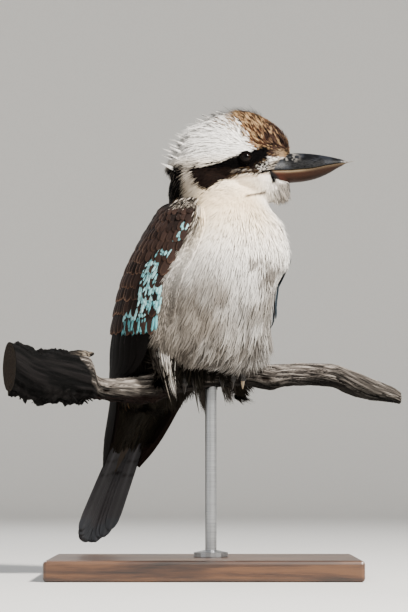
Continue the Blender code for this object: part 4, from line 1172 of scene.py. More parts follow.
def make_thigh_tuft(finish):
    """The long feathers of the near thigh, drawn to a point in front of the branch, pale with dark sides."""
    draw = np.random.default_rng(26)
    count = 640
    across = draw.normal(0, 0.55, count)
    start = np.array([-32, -52, 199]) + across[:, None] * np.array([7, 0, 1])
    start = start + draw.normal(0, 1, (count, 3)) * [1.6, 2.0, 3.5]
    end = np.array([-25, -36, 167]) + across[:, None] * np.array([3.0, 0, 0])
    end = end + draw.normal(0, 1, (count, 3)) * [1.0, 1.4, 5.0]
    share = np.linspace(0, 1, 7)
    middles = start[:, None] + (end - start)[:, None] * share[:, None] * draw.uniform(0.8, 1.05, (count, 1, 1))
    bulge = np.sin(np.pi * share)
    middles[..., 0] -= 2.2 * bulge
    middles[..., 1] -= 7.0 * bulge * (1 - 0.3 * np.abs(across))[:, None]
    middles = clear_of_perch(middles, 1.0)
    facing = unit(np.array([0.2, -1, 0]) + 0.3 * draw.normal(0, 1, (count, 3)))[:, None]
    half = draw.uniform(0.35, 0.6, count)[:, None] * np.array([0.6, 1, 1, 1, 0.8, 0.5, 0.1])
    points, faces, x, s = blades(middles, facing, half)
    pale = mix(SNOW * 0.7, ASH * 0.5, draw.random((count, 1, 1)))
    dark = (np.abs(across + 0.1) + draw.normal(0, 0.35, count))[:, None, None]
    colours = mix(pale, SMOKE * 0.12, soft((dark - 0.5) / 0.2))
    colours = mix(colours, SMOKE * 0.3, soft((s - 0.86) / 0.14) * 0.6)
    places = np.stack([0.3 + 0.05 * across, 0.2 + 0 * across], -1) + draw.uniform(-0.02, 0.02, (count, 2))
    mesh_piece("thigh_tuft_right", points, faces, finish, "plumage", colours, tuft_patches(places, x, s))


def make_vent_feathers(finish):
    """Stringy feathers of the vent and thighs, which hang behind the branch in spikes, painted dark for the shade
    under the bird.
    """
    draw = np.random.default_rng(24)
    count = 3200
    place = draw.uniform(2.2, 3.7, count)
    turn = np.radians(180 + draw.uniform(-85, 85, count))
    points = trunk_at(place, turn, -4.0)
    offset = (points - perch_at(points[:, 0])[0]) @ -PERCH_FLAT
    before = (offset < -3) & (np.abs(points[:, 0] + 5) < 31)
    kept = (offset > 4) | before
    place, turn, points, before = place[kept], turn[kept], points[kept], before[kept]
    count, x = len(points), points[:, 0]
    outward = unit(trunk_at(place, turn, 0.0) - points)
    share = np.linspace(0, 1, 6)
    # Feathers gather in spikes of one length, 6.5 mm apart along the branch
    centre = np.round(x / 6.5) * 6.5
    seed = (np.sin(centre * 12.9898) * 43758.5453) % 1
    in_front, behind = (17 + 9 * seed) * (1 - 0.4 * soft(x / 12)), (18 + 18 * seed) * (1 - 0.35 * soft((x - 14) / 14))
    length = np.where(before, in_front, behind)[:, None, None] + draw.uniform(-3, 3, (count, 1, 1))
    fall = unit(-UP + 0.25 * outward * np.array([1, 1, 0]) + draw.normal(0, 0.07, (count, 3)))
    middles = points[:, None] + length * share[:, None] * fall[:, None]
    middles[..., 0] += ((centre - x) * 0.85 + (seed - 0.5) * 5)[:, None] * share**1.5
    middles = clear_of_perch(middles, 0.6)
    facing = unit(outward + 0.4 * draw.normal(0, 1, (count, 3)))[:, None]
    half = draw.uniform(0.5, 0.9, count)[:, None] * np.array([0.6, 1, 1, 0.8, 0.5, 0.1])
    mesh_points, faces, across, down = blades(middles, facing, half)
    tone = draw.random((count, 1, 1))
    # Painted shade: greyish dark, darker to the tips and at the left, and near black in front of the branch where the
    # shadow lies
    colours = mix(mix(SMOKE * 0.3, ASH * 0.35, tone), SMOKE * 0.2, soft(down * 1.2 - 0.1) * 0.6)
    colours = mix(colours, SHADE_OLIVE * 1.2, 0.9 * soft((-12 - x) / 8)[:, None, None])
    colours = np.where(before[:, None, None, None], SHADE_OLIVE * (0.3 + 0.9 * tone[..., None]), colours)
    patches = tuft_patches(np.stack([turn / (2 * np.pi), place / 11], -1), across, down)
    mesh_piece("vent_feathers", mesh_points, faces, finish, "plumage", colours, patches)


def make_back_coat(sites, finish):
    """Small, broad, overlapping feathers between the wings and down to the tail."""
    draw = np.random.default_rng(23)

    def density(roots):
        on_back = (np.abs(roots.turn) > 92) & (roots.rise < 146) & (roots.rise > -26)
        return np.where(on_back & ~under_wing(roots, 22), 0.5, 0)

    roots = sow(sites, density, draw)
    roots = roots.only(draw.permutation(len(roots.points)))
    roots = roots.only(apart(roots.points, 3.4))
    count = len(roots.points)
    rump = soft((16 - roots.rise) / 20) * soft((np.abs(roots.turn) - 140) / 14)
    tone = draw.random(count)
    tip = mix(mix(UMBER, BROWN, tone * 0.7), mix(RUFOUS, UMBER, tone), rump)
    edge = mix(mix(BROWN, BUFF, 0.15 + 0.3 * tone), RUFOUS, rump)
    values = [np.full(count, value) for value in (15.0, 3.9, 0.1)]
    shape = {"outline": (0.5, 0.9, 1, 0.95, 0.7, 0.15), "stations": 7, "columns": 5}
    lie = {"droop": 0.06, "stray": 0.05, "tilt": 0.08}
    tufts("back_feathers", roots, finish, *values, np.zeros((count, 3)), tip, edge, **lie, **shape)


# Wings and tail

# Tiers of a wing from the tip up: count, shares of the front and rear feather, heights of the root, of the
# front tip and of the rear tip, and half width
WING_TIERS = {
    "primary": (8, 0.16, 0.60, 14, -88, -48, 6.4),
    "secondary": (11, 0.08, 0.82, 50, -20, 0, 6.2),
    "tertial": (3, 0.76, 0.94, 76, 12, 2, 8.6),
    "greater covert": (18, 0.03, 0.93, 60, 26, 30, 4.4),
    "median covert": (18, 0.03, 0.94, 72, 41, 46, 4.3),
    "lesser covert 1": (17, 0.02, 0.95, 84, 54, 60, 4.4),
    "lesser covert 2": (17, 0.03, 0.95, 94, 65, 71, 4.4),
    "lesser covert 3": (16, 0.02, 0.95, 104, 76, 82, 4.4),
    "lesser covert 4": (16, 0.03, 0.95, 113, 86, 92, 4.3),
    "lesser covert 5": (15, 0.02, 0.95, 121, 96, 101, 4.2),
    "shoulder 1": (14, 0.03, 0.95, 128, 105, 110, 4.0),
    "shoulder 2": (13, 0.02, 0.95, 133, 113, 118, 3.8),
    "shoulder 3": (12, 0.04, 0.95, 137, 121, 125, 3.6),
    "shoulder 4": (11, 0.06, 0.94, 139, 128, 131, 3.4),
}
LONG_TIERS = ("primary", "secondary", "tertial")
FLIGHT_OUTLINE = (0.55, 0.95, 1, 1, 0.97, 0.9, 0.72, 0.25)
# Past this share of its length a covert's tip is rounded
COVERT_TIP = 0.72
# The far wing is let out a little over the flank: the extra share of its width, by height
FAR_REACH = ((-12, 0), (6, 0.18), (24, 0.32), (60, 0.35), (84, 0.27), (98, 0))
# Blue strokes on the coverts' tips: height of the tips, shares of the first and last, count and length
BLUE_ROWS = (
    (115, 0.02, 0.09, 4, 7),
    (106, 0.04, 0.11, 4, 7),
    (100, 0.10, 0.16, 4, 7),
    (91, 0.08, 0.20, 7, 8),
    (83, 0.14, 0.24, 8, 8),
    (78, 0.10, 0.25, 12, 9),
    (73, 0.08, 0.23, 13, 9),
    (68, 0.05, 0.21, 13, 10),
    (63, 0.02, 0.20, 14, 10),
    (58, -0.02, 0.18, 16, 10),
    (53, -0.03, 0.17, 16, 10),
    (48, -0.03, 0.16, 15, 10),
    (44, -0.02, 0.15, 13, 9),
    (39, 0.09, 0.31, 18, 9),
    (27, -0.02, 0.31, 30, 13),
)


def far_reach(up):
    return np.interp(up, *zip(*FAR_REACH))


def slimmed(points, amount):
    """Draws the far flank in, below the breast's fullest part."""
    _, _, rise = to_bird(points)
    slim = np.interp(rise, (26, 44, 58, 70, 80, 92), (0, 4.5, 7, 8, 4.5, 0)) * amount
    return points - slim[..., None] * np.array([1.0, 0, 0])


def over_body(side, up, share, lift):
    """Points of a wing's sheet, kept clear of the trunk where the sheet runs on over the flank."""
    centre, radius, rear, front = eased(WING_ROWS, up)
    angle = np.radians(front + (rear - front) * share)
    place = np.interp(up, [row[2] for row in TRUNK_ROWS], np.arange(len(TRUNK_ROWS)))
    forward, _, _, _, breast, half = eased(TRUNK_ROWS, place)
    low, high = np.full_like(angle, 20.0), np.full_like(angle, 110.0)
    for _ in range(24):
        reach = (low + high) / 2
        ahead, out = centre - reach * np.cos(angle) - forward, reach * np.sin(angle)
        inside = (np.abs(ahead) / breast) ** BREAST_FULLNESS + (np.abs(out) / half) ** BREAST_FULLNESS < 1
        low, high = np.where(inside, reach, low), np.where(inside, high, reach)
    reach = np.where(share < 0.04, np.maximum(radius, low + 3.0 * soft((0.04 - share) / 0.08)), radius) + lift
    places = bird(centre - reach * np.cos(angle), side * reach * np.sin(angle), up + 0 * angle)
    return slimmed(places, soft((0.06 - share) / 0.16) * (side > 0))


def on_wing(side, up, share, lift):
    """Points of a wing's sheet over the body, and the way out from them."""
    middles = over_body(side, up, share, lift)
    return middles, unit(over_body(side, up, share, lift + 1) - middles)


def wing_colours(tier, tip_up, share, x, s, draw):
    """Colours over one wing feather. x is the place across it and s along it."""
    dark = mix(UMBER, BROWN * 1.2, draw.uniform(0.0, 0.8)) * np.array([0.94, 1, 1.12])
    past = np.clip((s - COVERT_TIP) / (1 - COVERT_TIP), 0, 1)
    rim = soft((np.hypot(x * np.sqrt(np.maximum(1 - past**2, 0)), past) - 0.84) / 0.12)
    if tier in ("primary", "secondary"):
        return mix(mix(MASK, UMBER, 0.1), BROWN, soft((np.abs(x) - 0.85) / 0.12) * 0.4 * (x > 0))
    if tier == "tertial":
        return mix(mix(UMBER, MASK, 0.5), mix(BROWN, BUFF, 0.3), rim * 0.8 * (s > 0.7))
    if share < -0.02:
        return mix(mix(SLATE, MASK, draw.uniform(0.1, 0.6)), SLATE * 1.5, rim * 0.6)
    edge = mix(RUST, BLUSH, draw.uniform(0.2, 1.0))
    strength = np.interp(tip_up, (20, 40, 60, 92, 106, 128), (0.6, 1.0, 1.0, 0.9, 0.5, 0.25))
    strength = strength * (0.3 + 0.8 * soft((share - 0.22) / 0.2)) * soft((s - 0.5) / 0.25)
    return mix(mix(dark, UMBER * 0.6, soft((0.62 - s) / 0.3)), edge, rim * strength)


def make_blue_tips(name, side, finish):
    """The pale blue tips of the coverts: short frayed strokes with dark shafts and gaps between them."""
    draw = np.random.default_rng(41)
    down = np.linspace(0, 1, 8)
    outline = np.interp(down, (0, 0.2, 0.5, 0.88, 1), (0.3, 0.75, 1, 0.85, 0.2))
    feathers = []
    for tip_up, first, last, count, long in BLUE_ROWS:
        deep, pale = (TEAL, TURQUOISE) if tip_up < 33 else (TURQUOISE, PALE_TURQUOISE)
        for k in range(count):
            if draw.random() < 0.1:
                continue
            place = first + (last - first) * k / max(count - 1, 1) + draw.uniform(-0.008, 0.008)
            if side > 0:
                place -= far_reach(tip_up) - 0.14
            tip = tip_up + draw.uniform(-2.0, 2.0)
            reach = long * draw.uniform(0.75, 1.35)
            share = place + draw.uniform(-0.01, 0.01) * down
            lift = 0.7 + draw.uniform(0.5, 1.2) * down - 0.8 * np.maximum(0, 1 - 4 * down)
            middles, outward = on_wing(side, tip + reach * (1 - down), share, lift)
            width = draw.uniform(0.75, 1.55) * outline * draw.uniform(0.75, 1.15, len(down))
            blade = blades(middles[None], outward[None], width[None], 0.25 * width[None], 5)
            x, s = blade[2:]
            shine = mix(deep, pale, draw.uniform(0, 1))
            shaft = soft(1 - np.abs(x) / 0.5) * draw.uniform(0, 0.5)
            flecks = draw.uniform(0.0, 0.9) * soft((draw.random(len(down)) - 0.8) * 8)[:, None]
            dark = np.maximum(np.maximum(shaft, soft((0.2 - s) / 0.2)), flecks)
            colours = mix(shine, UMBER, np.clip(dark + soft((s - 0.97) / 0.03) * 0.3, 0, 1))
            feathers.append((blade, colours, (1.6, reach, draw.uniform(0, 500)), k / count, tip_up, count))
    build_feathers("blue_tips_" + name, feathers, finish, "wing_plumage", "wing_" + name)


def make_wings(finish, arm_finish):
    """Both wings: their feathers tier by tier, with blue tips, the arm under them and the border over them."""
    for name, side in SIDES.items():
        draw = np.random.default_rng(5)
        feathers = []
        for tier, (count, front, rear, root, tip_front, tip_rear, half) in WING_TIERS.items():
            long = tier in LONG_TIERS
            down = 1 - (1 - np.linspace(0, 1, 16 if long else 12)) ** 1.35
            if long:
                outline = np.interp(down, np.linspace(0, 1, 8), FLIGHT_OUTLINE)
            else:
                past = np.clip((down - COVERT_TIP) / (1 - COVERT_TIP), 0, 1)
                outline = np.interp(down, (0, 0.4), (0.55, 1)) * np.sqrt(np.maximum(1 - past**2, 0.02))
            start = front - (0 if long or side < 0 else far_reach((root + tip_front) / 2))
            count = round(count * (rear - start) / (rear - front))
            if tier == "primary" and side > 0:
                tip_rear -= 28
            for k in range(count):
                place = start + (rear - start) * k / (count - 1)
                tip = tip_front + (tip_rear - tip_front) * k / (count - 1) + draw.uniform(-1.6, 1.6)
                share = place + draw.uniform(-0.018, 0.018) * down
                # Rear feathers lie a little over those before them
                lift = -2.2 + 3.4 * down + 0.35 * (1 - place) - 0.8 * long + 1.4 * soft((-0.02 - place) / 0.1)
                middles, outward = on_wing(side, root + (tip - root) * down, share, lift)
                tilt = np.cross(unit(np.gradient(middles, axis=0)), outward)
                facing = outward + (0.1 * side + draw.uniform(-0.05, 0.05)) * tilt
                width = (half * draw.uniform(0.9, 1.08) * outline)[None]
                blade = blades(middles[None], facing[None], width, np.minimum(0.16 * width, 0.9), 7)
                x = blade[2]
                s = np.broadcast_to(down[:, None], x.shape)
                colours = wing_colours(tier, tip, place, x, s, draw)
                grain = (half, abs(tip - root), draw.uniform(0, 500))
                feathers.append(((*blade[:3], s), colours, grain, k / count, root, count))
        build_feathers("wing_feathers_" + name, feathers, finish, "wing_plumage", "wing_" + name)
        make_blue_tips(name, side, finish)
        make_wing_arm(name, side, arm_finish)
        make_wing_border(name, side, arm_finish)


def make_wing_arm(name, side, finish):
    """The arm and hand under the feathers, so that no gap shows between them."""
    up = np.linspace(-66, 134, 26)[:, None]
    share = np.linspace(0.06, 0.94, 20)[None]
    outer = wing_at(side, up, share, -2.6)
    inner = wing_at(side, up, share[:, ::-1], -5.0)
    points, faces = tube_mesh(np.concatenate([outer, inner], 1))
    tone = mix(UMBER, MASK, 0.5)
    arm = turned_outwards(mesh_piece("wing_arm_" + name, points, faces, finish, "wing_plumage", tone))
    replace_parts(arm, "wing_" + name)


def make_wing_border(name, side, finish):
    """Breast feathers that lap softly over the front edge of a wing."""
    draw = np.random.default_rng(27)
    count = 2600
    up = draw.uniform(26, 137, count)
    # The last ones hang over the wing's top edge from the neck
    over_top = np.arange(count) > count - 300
    up = np.where(over_top, draw.uniform(136, 144, count), up)
    start = -(far_reach(up) if side > 0 else 0 * up)
    share_at = start + (draw.uniform(-0.2, -0.1, count) if side > 0 else draw.uniform(-0.16, -0.015, count))
    share_at = np.where(over_top, draw.uniform(-0.1, 0.7, count) * draw.random(count) ** 0.5, share_at)
    share = np.linspace(0, 1, 5)[None]
    length = np.where(over_top, draw.uniform(2, 8, count), draw.uniform(10, 17, count))[:, None]
    drift = draw.uniform(0.0, 0.04, count)[:, None]
    lift = -3.0 + 4.0 * share**0.8 + draw.uniform(-0.5, 0.6, count)[:, None]
    heights, shares = up[:, None] - length * 0.92 * share, share_at[:, None] + drift * share
    lift = lift - 3.6 * soft((start - 0.02 - share_at) / 0.09)[:, None]
    middles = clear_of_perch(over_body(side, heights, shares, lift), 0.4)
    facing = over_body(side, heights, shares, lift + 1) - middles
    half = draw.uniform(0.4, 0.75, count)[:, None] * np.interp(share, (0, 0.3, 0.7, 1), (0.5, 1, 0.8, 0.1))
    points, faces, x, s = blades(middles, facing, half)
    own = coat_colours(middles[:, 2], draw.random(count))[:, None, None]
    tone = draw.random((count, 1, 1))
    dusk = (soft((up - 98) / 22) * soft((share_at - start + 0.14) / 0.06) * (side < 0))[:, None, None]
    dusk = np.maximum(dusk, 0.75 * over_top[:, None, None])
    colours = mix(own, mix(ASH, SMOKE * 0.12, soft(tone * 2.4 - 0.5)), 0.95 * dusk)
    # Roots darker: the feathers' greyer bases, with painted shade among them
    colours = mix(0.8 * colours, colours, soft(s * 1.6))
    patches = tuft_patches(np.stack([share_at + 0.6, (up + 8) / 150], -1), x, s)
    mesh_piece("wing_border_" + name, points, faces, finish, "plumage", colours, patches)


def build_feathers(name, feathers, finish, slot, node):
    """Joins feathers into one piece, each with a cell of its own on the OFBake unwrap of the sheet.

    Each comes as its blade, its colours, the width, length and lane of its grain, its place in its row, the
    row, and the number of feathers in that row.
    """
    rows = sorted({feather[4] for feather in feathers})
    meshes, layers = [], []
    for (points, faces, x, s), colours, (wide, long, lane), place, row, count in feathers:
        meshes.append((points.reshape(-1, 3), faces))
        cell = np.stack([place + (x + 1) * 0.45 / count, (rows.index(row) + s * 0.9) / len(rows)], -1)
        grain = np.stack([x * wide, s * long, 0 * x + lane], -1)
        layers.append((colours.reshape(-1, 3), cell.reshape(-1, 2), grain.reshape(-1, 3)))
    made = mesh_piece(name, *joined(meshes), finish, slot, *(np.concatenate(layer) for layer in zip(*layers)))
    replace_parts(made, node)


def tail_colours(pair, x, s, length, above, draw):
    """Bars over one tail feather: rufous and black above, washed out below on a grey darkened by painted shade that
    is darkest at the root, with a white tip.
    """
    along = s * length
    wave = along + 4.8 * x**2 + draw.uniform(-2, 2)
    bar = np.maximum(soft((np.abs((wave % 17) - 8.5) - 4.6) / 1.2), soft(1.4 - np.abs(along - 55) / 10))
    tip = soft((s - 0.88) / 0.03)
    before_tip = soft((s - 0.78) / 0.02) * (1 - tip)
    edge = soft((np.abs(x) - 0.86) / 0.12)
    if above:
        colour = mix(mix(RUFOUS, MASK, bar), mix(SNOW, MASK, bar), 0.75 * (pair >= 4))
        colour = mix(colour, MASK, np.maximum(before_tip, soft((34 - along) / 6)))
        return mix(mix(colour, SNOW, tip * (1 if pair else 0.5)), MASK, edge)
    bars = soft(1.4 - np.abs(along + 2 * x**2 - 54) / 1.5) + soft(1.4 - np.abs(along + 2 * x**2 - 69) / 1.5)
    # Painted shade: the grey underside dark, darkest towards the root
    colour = mix(LEAD_IN_SHADE * 0.6, LEAD_IN_SHADE, soft((along - 50) / 50))
    colour = mix(colour, MASK, np.clip(bars, 0, 1) * (0.9 if pair < 4 else 0.6))
    colour = mix(colour, LEAD_IN_SHADE * 2.2, edge * 0.5 * soft((along - 70) / 20))
    return mix(colour, SLATE * 2, 0.3 * tip)


def make_tail(finish, down_look):
    """The tail: twelve feathers, each with its upper and its lower face, the root and the coverts."""
    draw = np.random.default_rng(9)
    down = np.linspace(0, 1, 44)
    outline = np.interp(down, (0, 0.15, 0.5, 0.85, 0.94, 0.98, 1), (0.45, 0.75, 0.95, 1, 0.88, 0.6, 0.25))
    width = TAIL_HALF_WIDTH * outline[None]
    feathers = []
    for k in range(12):
        pair, side = k // 2, 1 if k % 2 else -1
        length = TAIL_LENGTHS[pair] + draw.uniform(-1.5, 1.5)
        along = 6 + (length - 6) * down
        spread = side * TAIL_SPREAD * (pair + 0.5) * (0.6 + 0.4 * down)
        lift = (1.8 if k == 1 else 1.0) - 0.75 * pair - 1.2 * down**2 * pair / 6
        middles = tail_at(along, spread, lift)
        above = unit(tail_at(along, spread, lift + 1) - middles)
        facing = above + 0.1 * (tail_at(along, spread + side, lift) - middles) * (pair > 0)
        for top in (True, False):
            way = 1 if top else -1
            blade = blades((middles + 0.2 * way * above)[None], way * facing[None], width, 0 * width + 0.5, 9)
            x, s = blade[2:]
            colours = tail_colours(pair, x, s, length, top, draw)
            colours = mix(colours, MASK if top else LEAD_IN_SHADE * 1.6, soft(1 - np.abs(x) / 0.1) * 0.5)
            grain = (TAIL_HALF_WIDTH, length, draw.uniform(0, 500))
            feathers.append((blade, colours, grain, k / 12, 0 if top else 1, 12))
    build_feathers("tail_feathers", feathers, finish, "tail_plumage", "tail")
    make_tail_root(down_look)
    make_tail_coverts(down_look, draw)


def make_tail_root(finish):
    """The fleshy root of the tail, a little inside its solid."""
    c, s = superellipse(2 * np.pi * np.arange(32) / 32, TAIL_FULLNESS)
    along = np.linspace(-4, 70, 16)[:, None]
    half, thick = eased(TAIL_CORE, along)
    points, faces = tube_mesh(tail_at(along, (half - 2.5) * c, (thick - 1.6) * s))
    core = turned_outwards(mesh_piece("tail_root", points, faces, finish, "tail_plumage", SMOKE * 0.3))
    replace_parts(core, "tail")


def make_tail_coverts(finish, draw):
    """The soft coverts over and under the tail's root."""
    count = 1100
    along = draw.uniform(-6, 32, count)
    turn = draw.uniform(0, 2 * np.pi, count)
    half, thick = eased(TAIL_CORE, along)
    c, s = superellipse(turn, TAIL_FULLNESS)
    share = np.linspace(0, 1, 6)
    reach = along[:, None] + draw.uniform(13, 19, count)[:, None] * share
    wider = 1 + (0.35 + 0.4 * (c > 0)) * (s < 0)
    lateral = ((half - 2.5) * c * wider)[:, None] * (1 - 0.1 * share)
    height = ((thick - 1.6) * s)[:, None] * (1 - 0.35 * share) + np.sign(s)[:, None] * (1 + 1.2 * share)
    facing = (tail_at(0, c, s) - tail_at(0, 0, 0))[:, None]
    width = draw.uniform(1.8, 3.4, count)[:, None] * np.interp(share, (0, 0.3, 0.7, 1), (0.5, 1, 0.9, 0.15))
    points, faces, x, down = blades(tail_at(reach, lateral, height), facing, width, width * 0.2)
    tone = draw.random((count, 1, 1))
    bar = soft(np.abs(((along[:, None, None] + down * 20) % 11) - 5.5) - 3)
    above = mix(mix(RUFOUS, BUFF, 0.3 * tone), MASK, bar)
    top = (s > 0) & (np.abs(c) < 0.8)
    # Below the root the whitish coverts are painted dark olive: painted shade under the tail
    colours = np.where(top[:, None, None, None], above, mix(SHADE_OLIVE * 0.7, SHADE_OLIVE * 1.3, tone))
    patches = tuft_patches(np.stack([turn / (2 * np.pi), (along + 4) / 64], -1), x, down)
    mesh_piece("tail_coverts", points, faces, finish, "tail_plumage", colours, patches)


# Eyes and bill


# A lid's section: angles past the opening's edge, and distances from the eye's middle in its radii
LID_FOLD = np.array((
    (0.03, 0.95), (-0.02, 1.03), (0.04, 1.10), (0.16, 1.11), (0.34, 1.06), (0.6, 1.02), (0.9, 0.95), (0.9, 0.85),
    (0.2, 0.85),
))


def make_eyes(finish, lid_finish):
    """Eyeballs with a bulged cornea, in lids of bare skin."""
    for name, side in SIDES.items():
        middle = of_head(EYE_AT[0], side * EYE_AT[1], EYE_AT[2])
        gaze = unit(of_head(EYE_AT[0] + 1.5, side * (EYE_AT[1] + 10), EYE_AT[2] + 0.6) - middle)
        across = unit(np.cross(gaze, UP))
        upward = np.cross(across, gaze)

        def dome(reach, tilt, turn):
            """Points round the eye's middle: tilt is the angle from the gaze, and turn runs round it."""
            spoke = np.cos(turn)[..., None] * across + np.sin(turn)[..., None] * upward
            return middle + reach[..., None] * (np.sin(tilt)[..., None] * spoke + np.cos(tilt)[..., None] * gaze)

        tilt = np.linspace(0.02, np.pi - 0.02, 40)[:, None]
        turns = 2 * np.pi * np.arange(48) / 48
        points, faces = tube_mesh(dome(EYE_RADIUS * (1 + 0.05 * np.exp(-((tilt / 0.55) ** 2))), tilt, turns))
        distance = np.concatenate([np.repeat(np.sin(tilt) * np.where(tilt < np.pi / 2, 1, 2), 48), [0, 2]])
        spin = np.concatenate([np.tile(turns, 40), [0, 0]])
        grain = np.stack([distance, np.cos(spin), np.sin(spin)], -1)
        eye = turned_outwards(mesh_piece("eyeball_" + name, points, faces, finish, "eye", grain=grain))
        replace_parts(eye, "eye_" + name)
        # The lids are a fold of black skin that lies close on the ball and leaves a narrow opening
        steps = 64
        around = 2 * np.pi * np.arange(steps)[:, None] / steps
        opening = np.radians(52 - np.where(np.sin(around) > 0, 22, -14) * np.sin(around))
        reach = EYE_RADIUS * LID_FOLD[:, 1] * (1 + 0.01 * np.sin(around * 14))
        points = dome(reach, LID_FOLD[:, 0] + opening, around)
        quads = sheet_faces(steps + 1, len(LID_FOLD), closed=True) % (steps * len(LID_FOLD))
        turned_outwards(mesh_piece("eyelids_" + name, points, quads, lid_finish, "plumage", linear("#030202")))


def spot(value, middle, width):
    """1 at the middle, and less away from it."""
    return np.exp(-(((value - middle) / width) ** 2))


def upper_bill_colours(points, along, up):
    """Black horn, worn pale at the tip, with pale flecks over the nostrils that are a painted highlight."""
    colour = mix(linear("#040405"), linear("#16181d"), soft((cloud(points, 6.0, 4) - 0.4) * 3))
    colour = mix(colour, linear("#8f8577"), 0.55 * soft((along - 98) / 12))
    colour = mix(colour, linear("#050505"), 0.8 * spot(along, 57, 3) * spot(up, 0, 2.6))
    # Painted highlight: pale flecks on the top of the bill over the nostrils
    nostril_highlights = soft(1.3 - np.abs(along - 54) / 10) * soft((up + 8) / 4) * soft((cloud(points, 1.7, 6) - 0.52) * 7)
    return mix(colour, linear("#77746f"), 0.8 * nostril_highlights)


def lower_bill_colours(along, up):
    """A pale strip along the cutting edge, brown below it and darkened towards the underside by painted shade,
    orange-red at the corner.
    """
    below = np.interp(along, [row[0] for row in BILL_ROWS], [row[2] for row in BILL_ROWS]) - up
    colour = mix(linear("#75654f"), linear("#2c1509"), soft((below - 0.9) / 2.6))
    # Darker still on the underside: painted shade
    colour = mix(colour, linear("#1e0e06"), 0.7 * soft((below - 6) / 2))
    colour = mix(colour, linear("#1c0e06"), 0.75 * soft((along - 60) / 20) * soft((below + 0.8) / 2))
    corner = soft(1.1 - (along - 46) / 8) * (0.3 + 0.7 * soft((-19 - up) / 2))
    colour = mix(colour, linear("#4e2014"), 0.7 * corner)
    return mix(colour, linear("#0b0b0e"), soft((46.5 - along + (-19 - up) * 0.8) / 3))


def make_bill(upper_finish, lower_finish):
    """Both halves of the bill, with nostril slits, the gape's edge and a paler cutting edge."""
    along = 34 + (105.5 - 34) * np.linspace(0, 1, 72) ** 0.9
    ridge, mouth, keel, wide_above, wide_below = eased(BILL_ROWS, along)
    angle = np.pi * np.arange(40) / 39
    halves = {
        "upper": (upper_finish, "bill_black", 0.15, ridge, wide_above, 0.35, 1.15),
        "lower": (lower_finish, "bill_horn", -0.15, keel, wide_below, 0.1, 0.9),
    }
    for name, (finish, slot, gap, rim, half, end, roundness) in halves.items():
        flat = mouth + gap
        taper = np.interp(along, (34, 100, 105.5), (1, 1, end))
        lift = np.sin(angle) ** roundness
        side = (half * (1 + 0.24 * soft((58 - along) / 22)) * taper)[:, None] * np.cos(angle)
        level = flat[:, None] + ((rim - flat) * taper)[:, None] * lift
        if name == "upper":
            # The nostril is a slit in a long shallow groove on each side
            flank = np.abs(np.cos(angle))
            groove = spot(flank, 0.66, 0.1) * soft((82 - along) / 16)[:, None]
            sunk = 0.45 * groove + 1.1 * spot(flank, 0.66, 0.09) * spot(along, 57, 2.6)[:, None]
            side = side * (1 - sunk / 12)
            # The tip runs out past the lower half, and bends down a little
            level = level - sunk * lift * 0.8 + np.interp(along, (98, 105.5), (0, -0.4))[:, None]
        points = of_head(along[:, None], side, level)
        if name == "upper":
            tip = of_head(111, 0, -6.0 + 0.2 * np.sin(angle))
            last = points[-1]
            points = np.concatenate([points, np.stack([last + 2.2 * (tip - last) / 3, tip + 0.06 * (last - tip)])])
        points, faces = tube_mesh(points)
        a, out, up = to_head(points)
        colours = upper_bill_colours(points, a, up) if name == "upper" else lower_bill_colours(a, up)
        grain = np.stack([a, out, up], -1)
        piece = mesh_piece("horn_" + name, points, faces, finish, slot, colours, grain=grain)
        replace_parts(turned_outwards(piece), "bill_" + name)


def toe_colours(points):
    # Grey-olive toes painted near black: painted shade under the belly
    return mix(linear("#26211c"), linear("#100d0b"), cloud(points, 3.0, 2))


def claw_colours(points):
    # Dark horn, with a painted highlight that makes the claw furthest along the branch pale
    return mix(linear("#1d1915"), linear("#a8987f"), soft((points[:, 0] - 27) / 3))


def make_feet(toe_finish, claw_finish):
    """Toes and shanks with scutes, and curved claws."""
    for name in SIDES:
        x = FOOT_X[name]
        middle, branch = perch_at(np.array([float(x)]))
        top = middle[0] + UP * (branch[0] + 0.3)
        limbs, claws = [], []
        share = np.linspace(0, 1, 46)
        # Three toes run forwards over the branch and one runs back
        for offset, around in [(offset, 112) for offset in TOE_SPREAD] + [(0, -104)]:
            place = x + offset * np.minimum(1, share * 1.6)
            joints = 1 + 0.12 * np.cos(share * 2 * np.pi * 3.2) ** 2 - 0.22 * share
            scutes = 1 + 0.05 * np.abs(np.sin(share * 46 * np.pi / 4))
            radius = TOE_RADIUS * joints * scutes * 0.96
            centre, bark = perch_at(place)
            angle = np.radians(around) * share
            reach = bark + 0.3 + TOE_RADIUS * (1 - 0.25 * share)
            swing = -np.sin(angle)[:, None] * np.array([0, 1, 0]) + np.cos(angle)[:, None] * UP
            path = centre + reach[:, None] * swing
            limbs.append(round_rings(path, radius, 16))
            heading = unit(path[-1] - path[-3])
            inward = unit(centre[-1] - path[-1])
            t = np.linspace(0, 1, 14)[:, None]
            claw = path[-1] - heading * 1.2 + (CLAW_LENGTH + 1.2) * t * heading + CLAW_LENGTH * 0.3 * t**2 * inward
            claws.append(round_rings(claw, TOE_RADIUS * (0.6 * (1 - t[:, 0]) ** 0.8 + 0.06), 12))
        t = np.linspace(0, 1, 24)
        shank = top + np.stack([0 * t, 2 + 0 * t, 2 + (TARSUS_HEIGHT - 2) * t], -1)
        limbs.append(round_rings(shank, TARSUS_RADIUS * (0.95 + 0.06 * np.abs(np.sin(t * 9 * np.pi))), 18))
        pad = top + np.stack([0 * t, 0 * t, 0.6 + 4.4 * t], -1)
        limbs.append(round_rings(pad, 6.2 * np.sin(np.pi * np.clip(t, 0.08, 0.92)) ** 0.6, 18))
        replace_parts(joined_tubes("toes_" + name, limbs, toe_finish, "foot_skin", toe_colours), "foot_" + name)
        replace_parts(joined_tubes("claws_" + name, claws, claw_finish, "foot_skin", claw_colours), "foot_" + name)


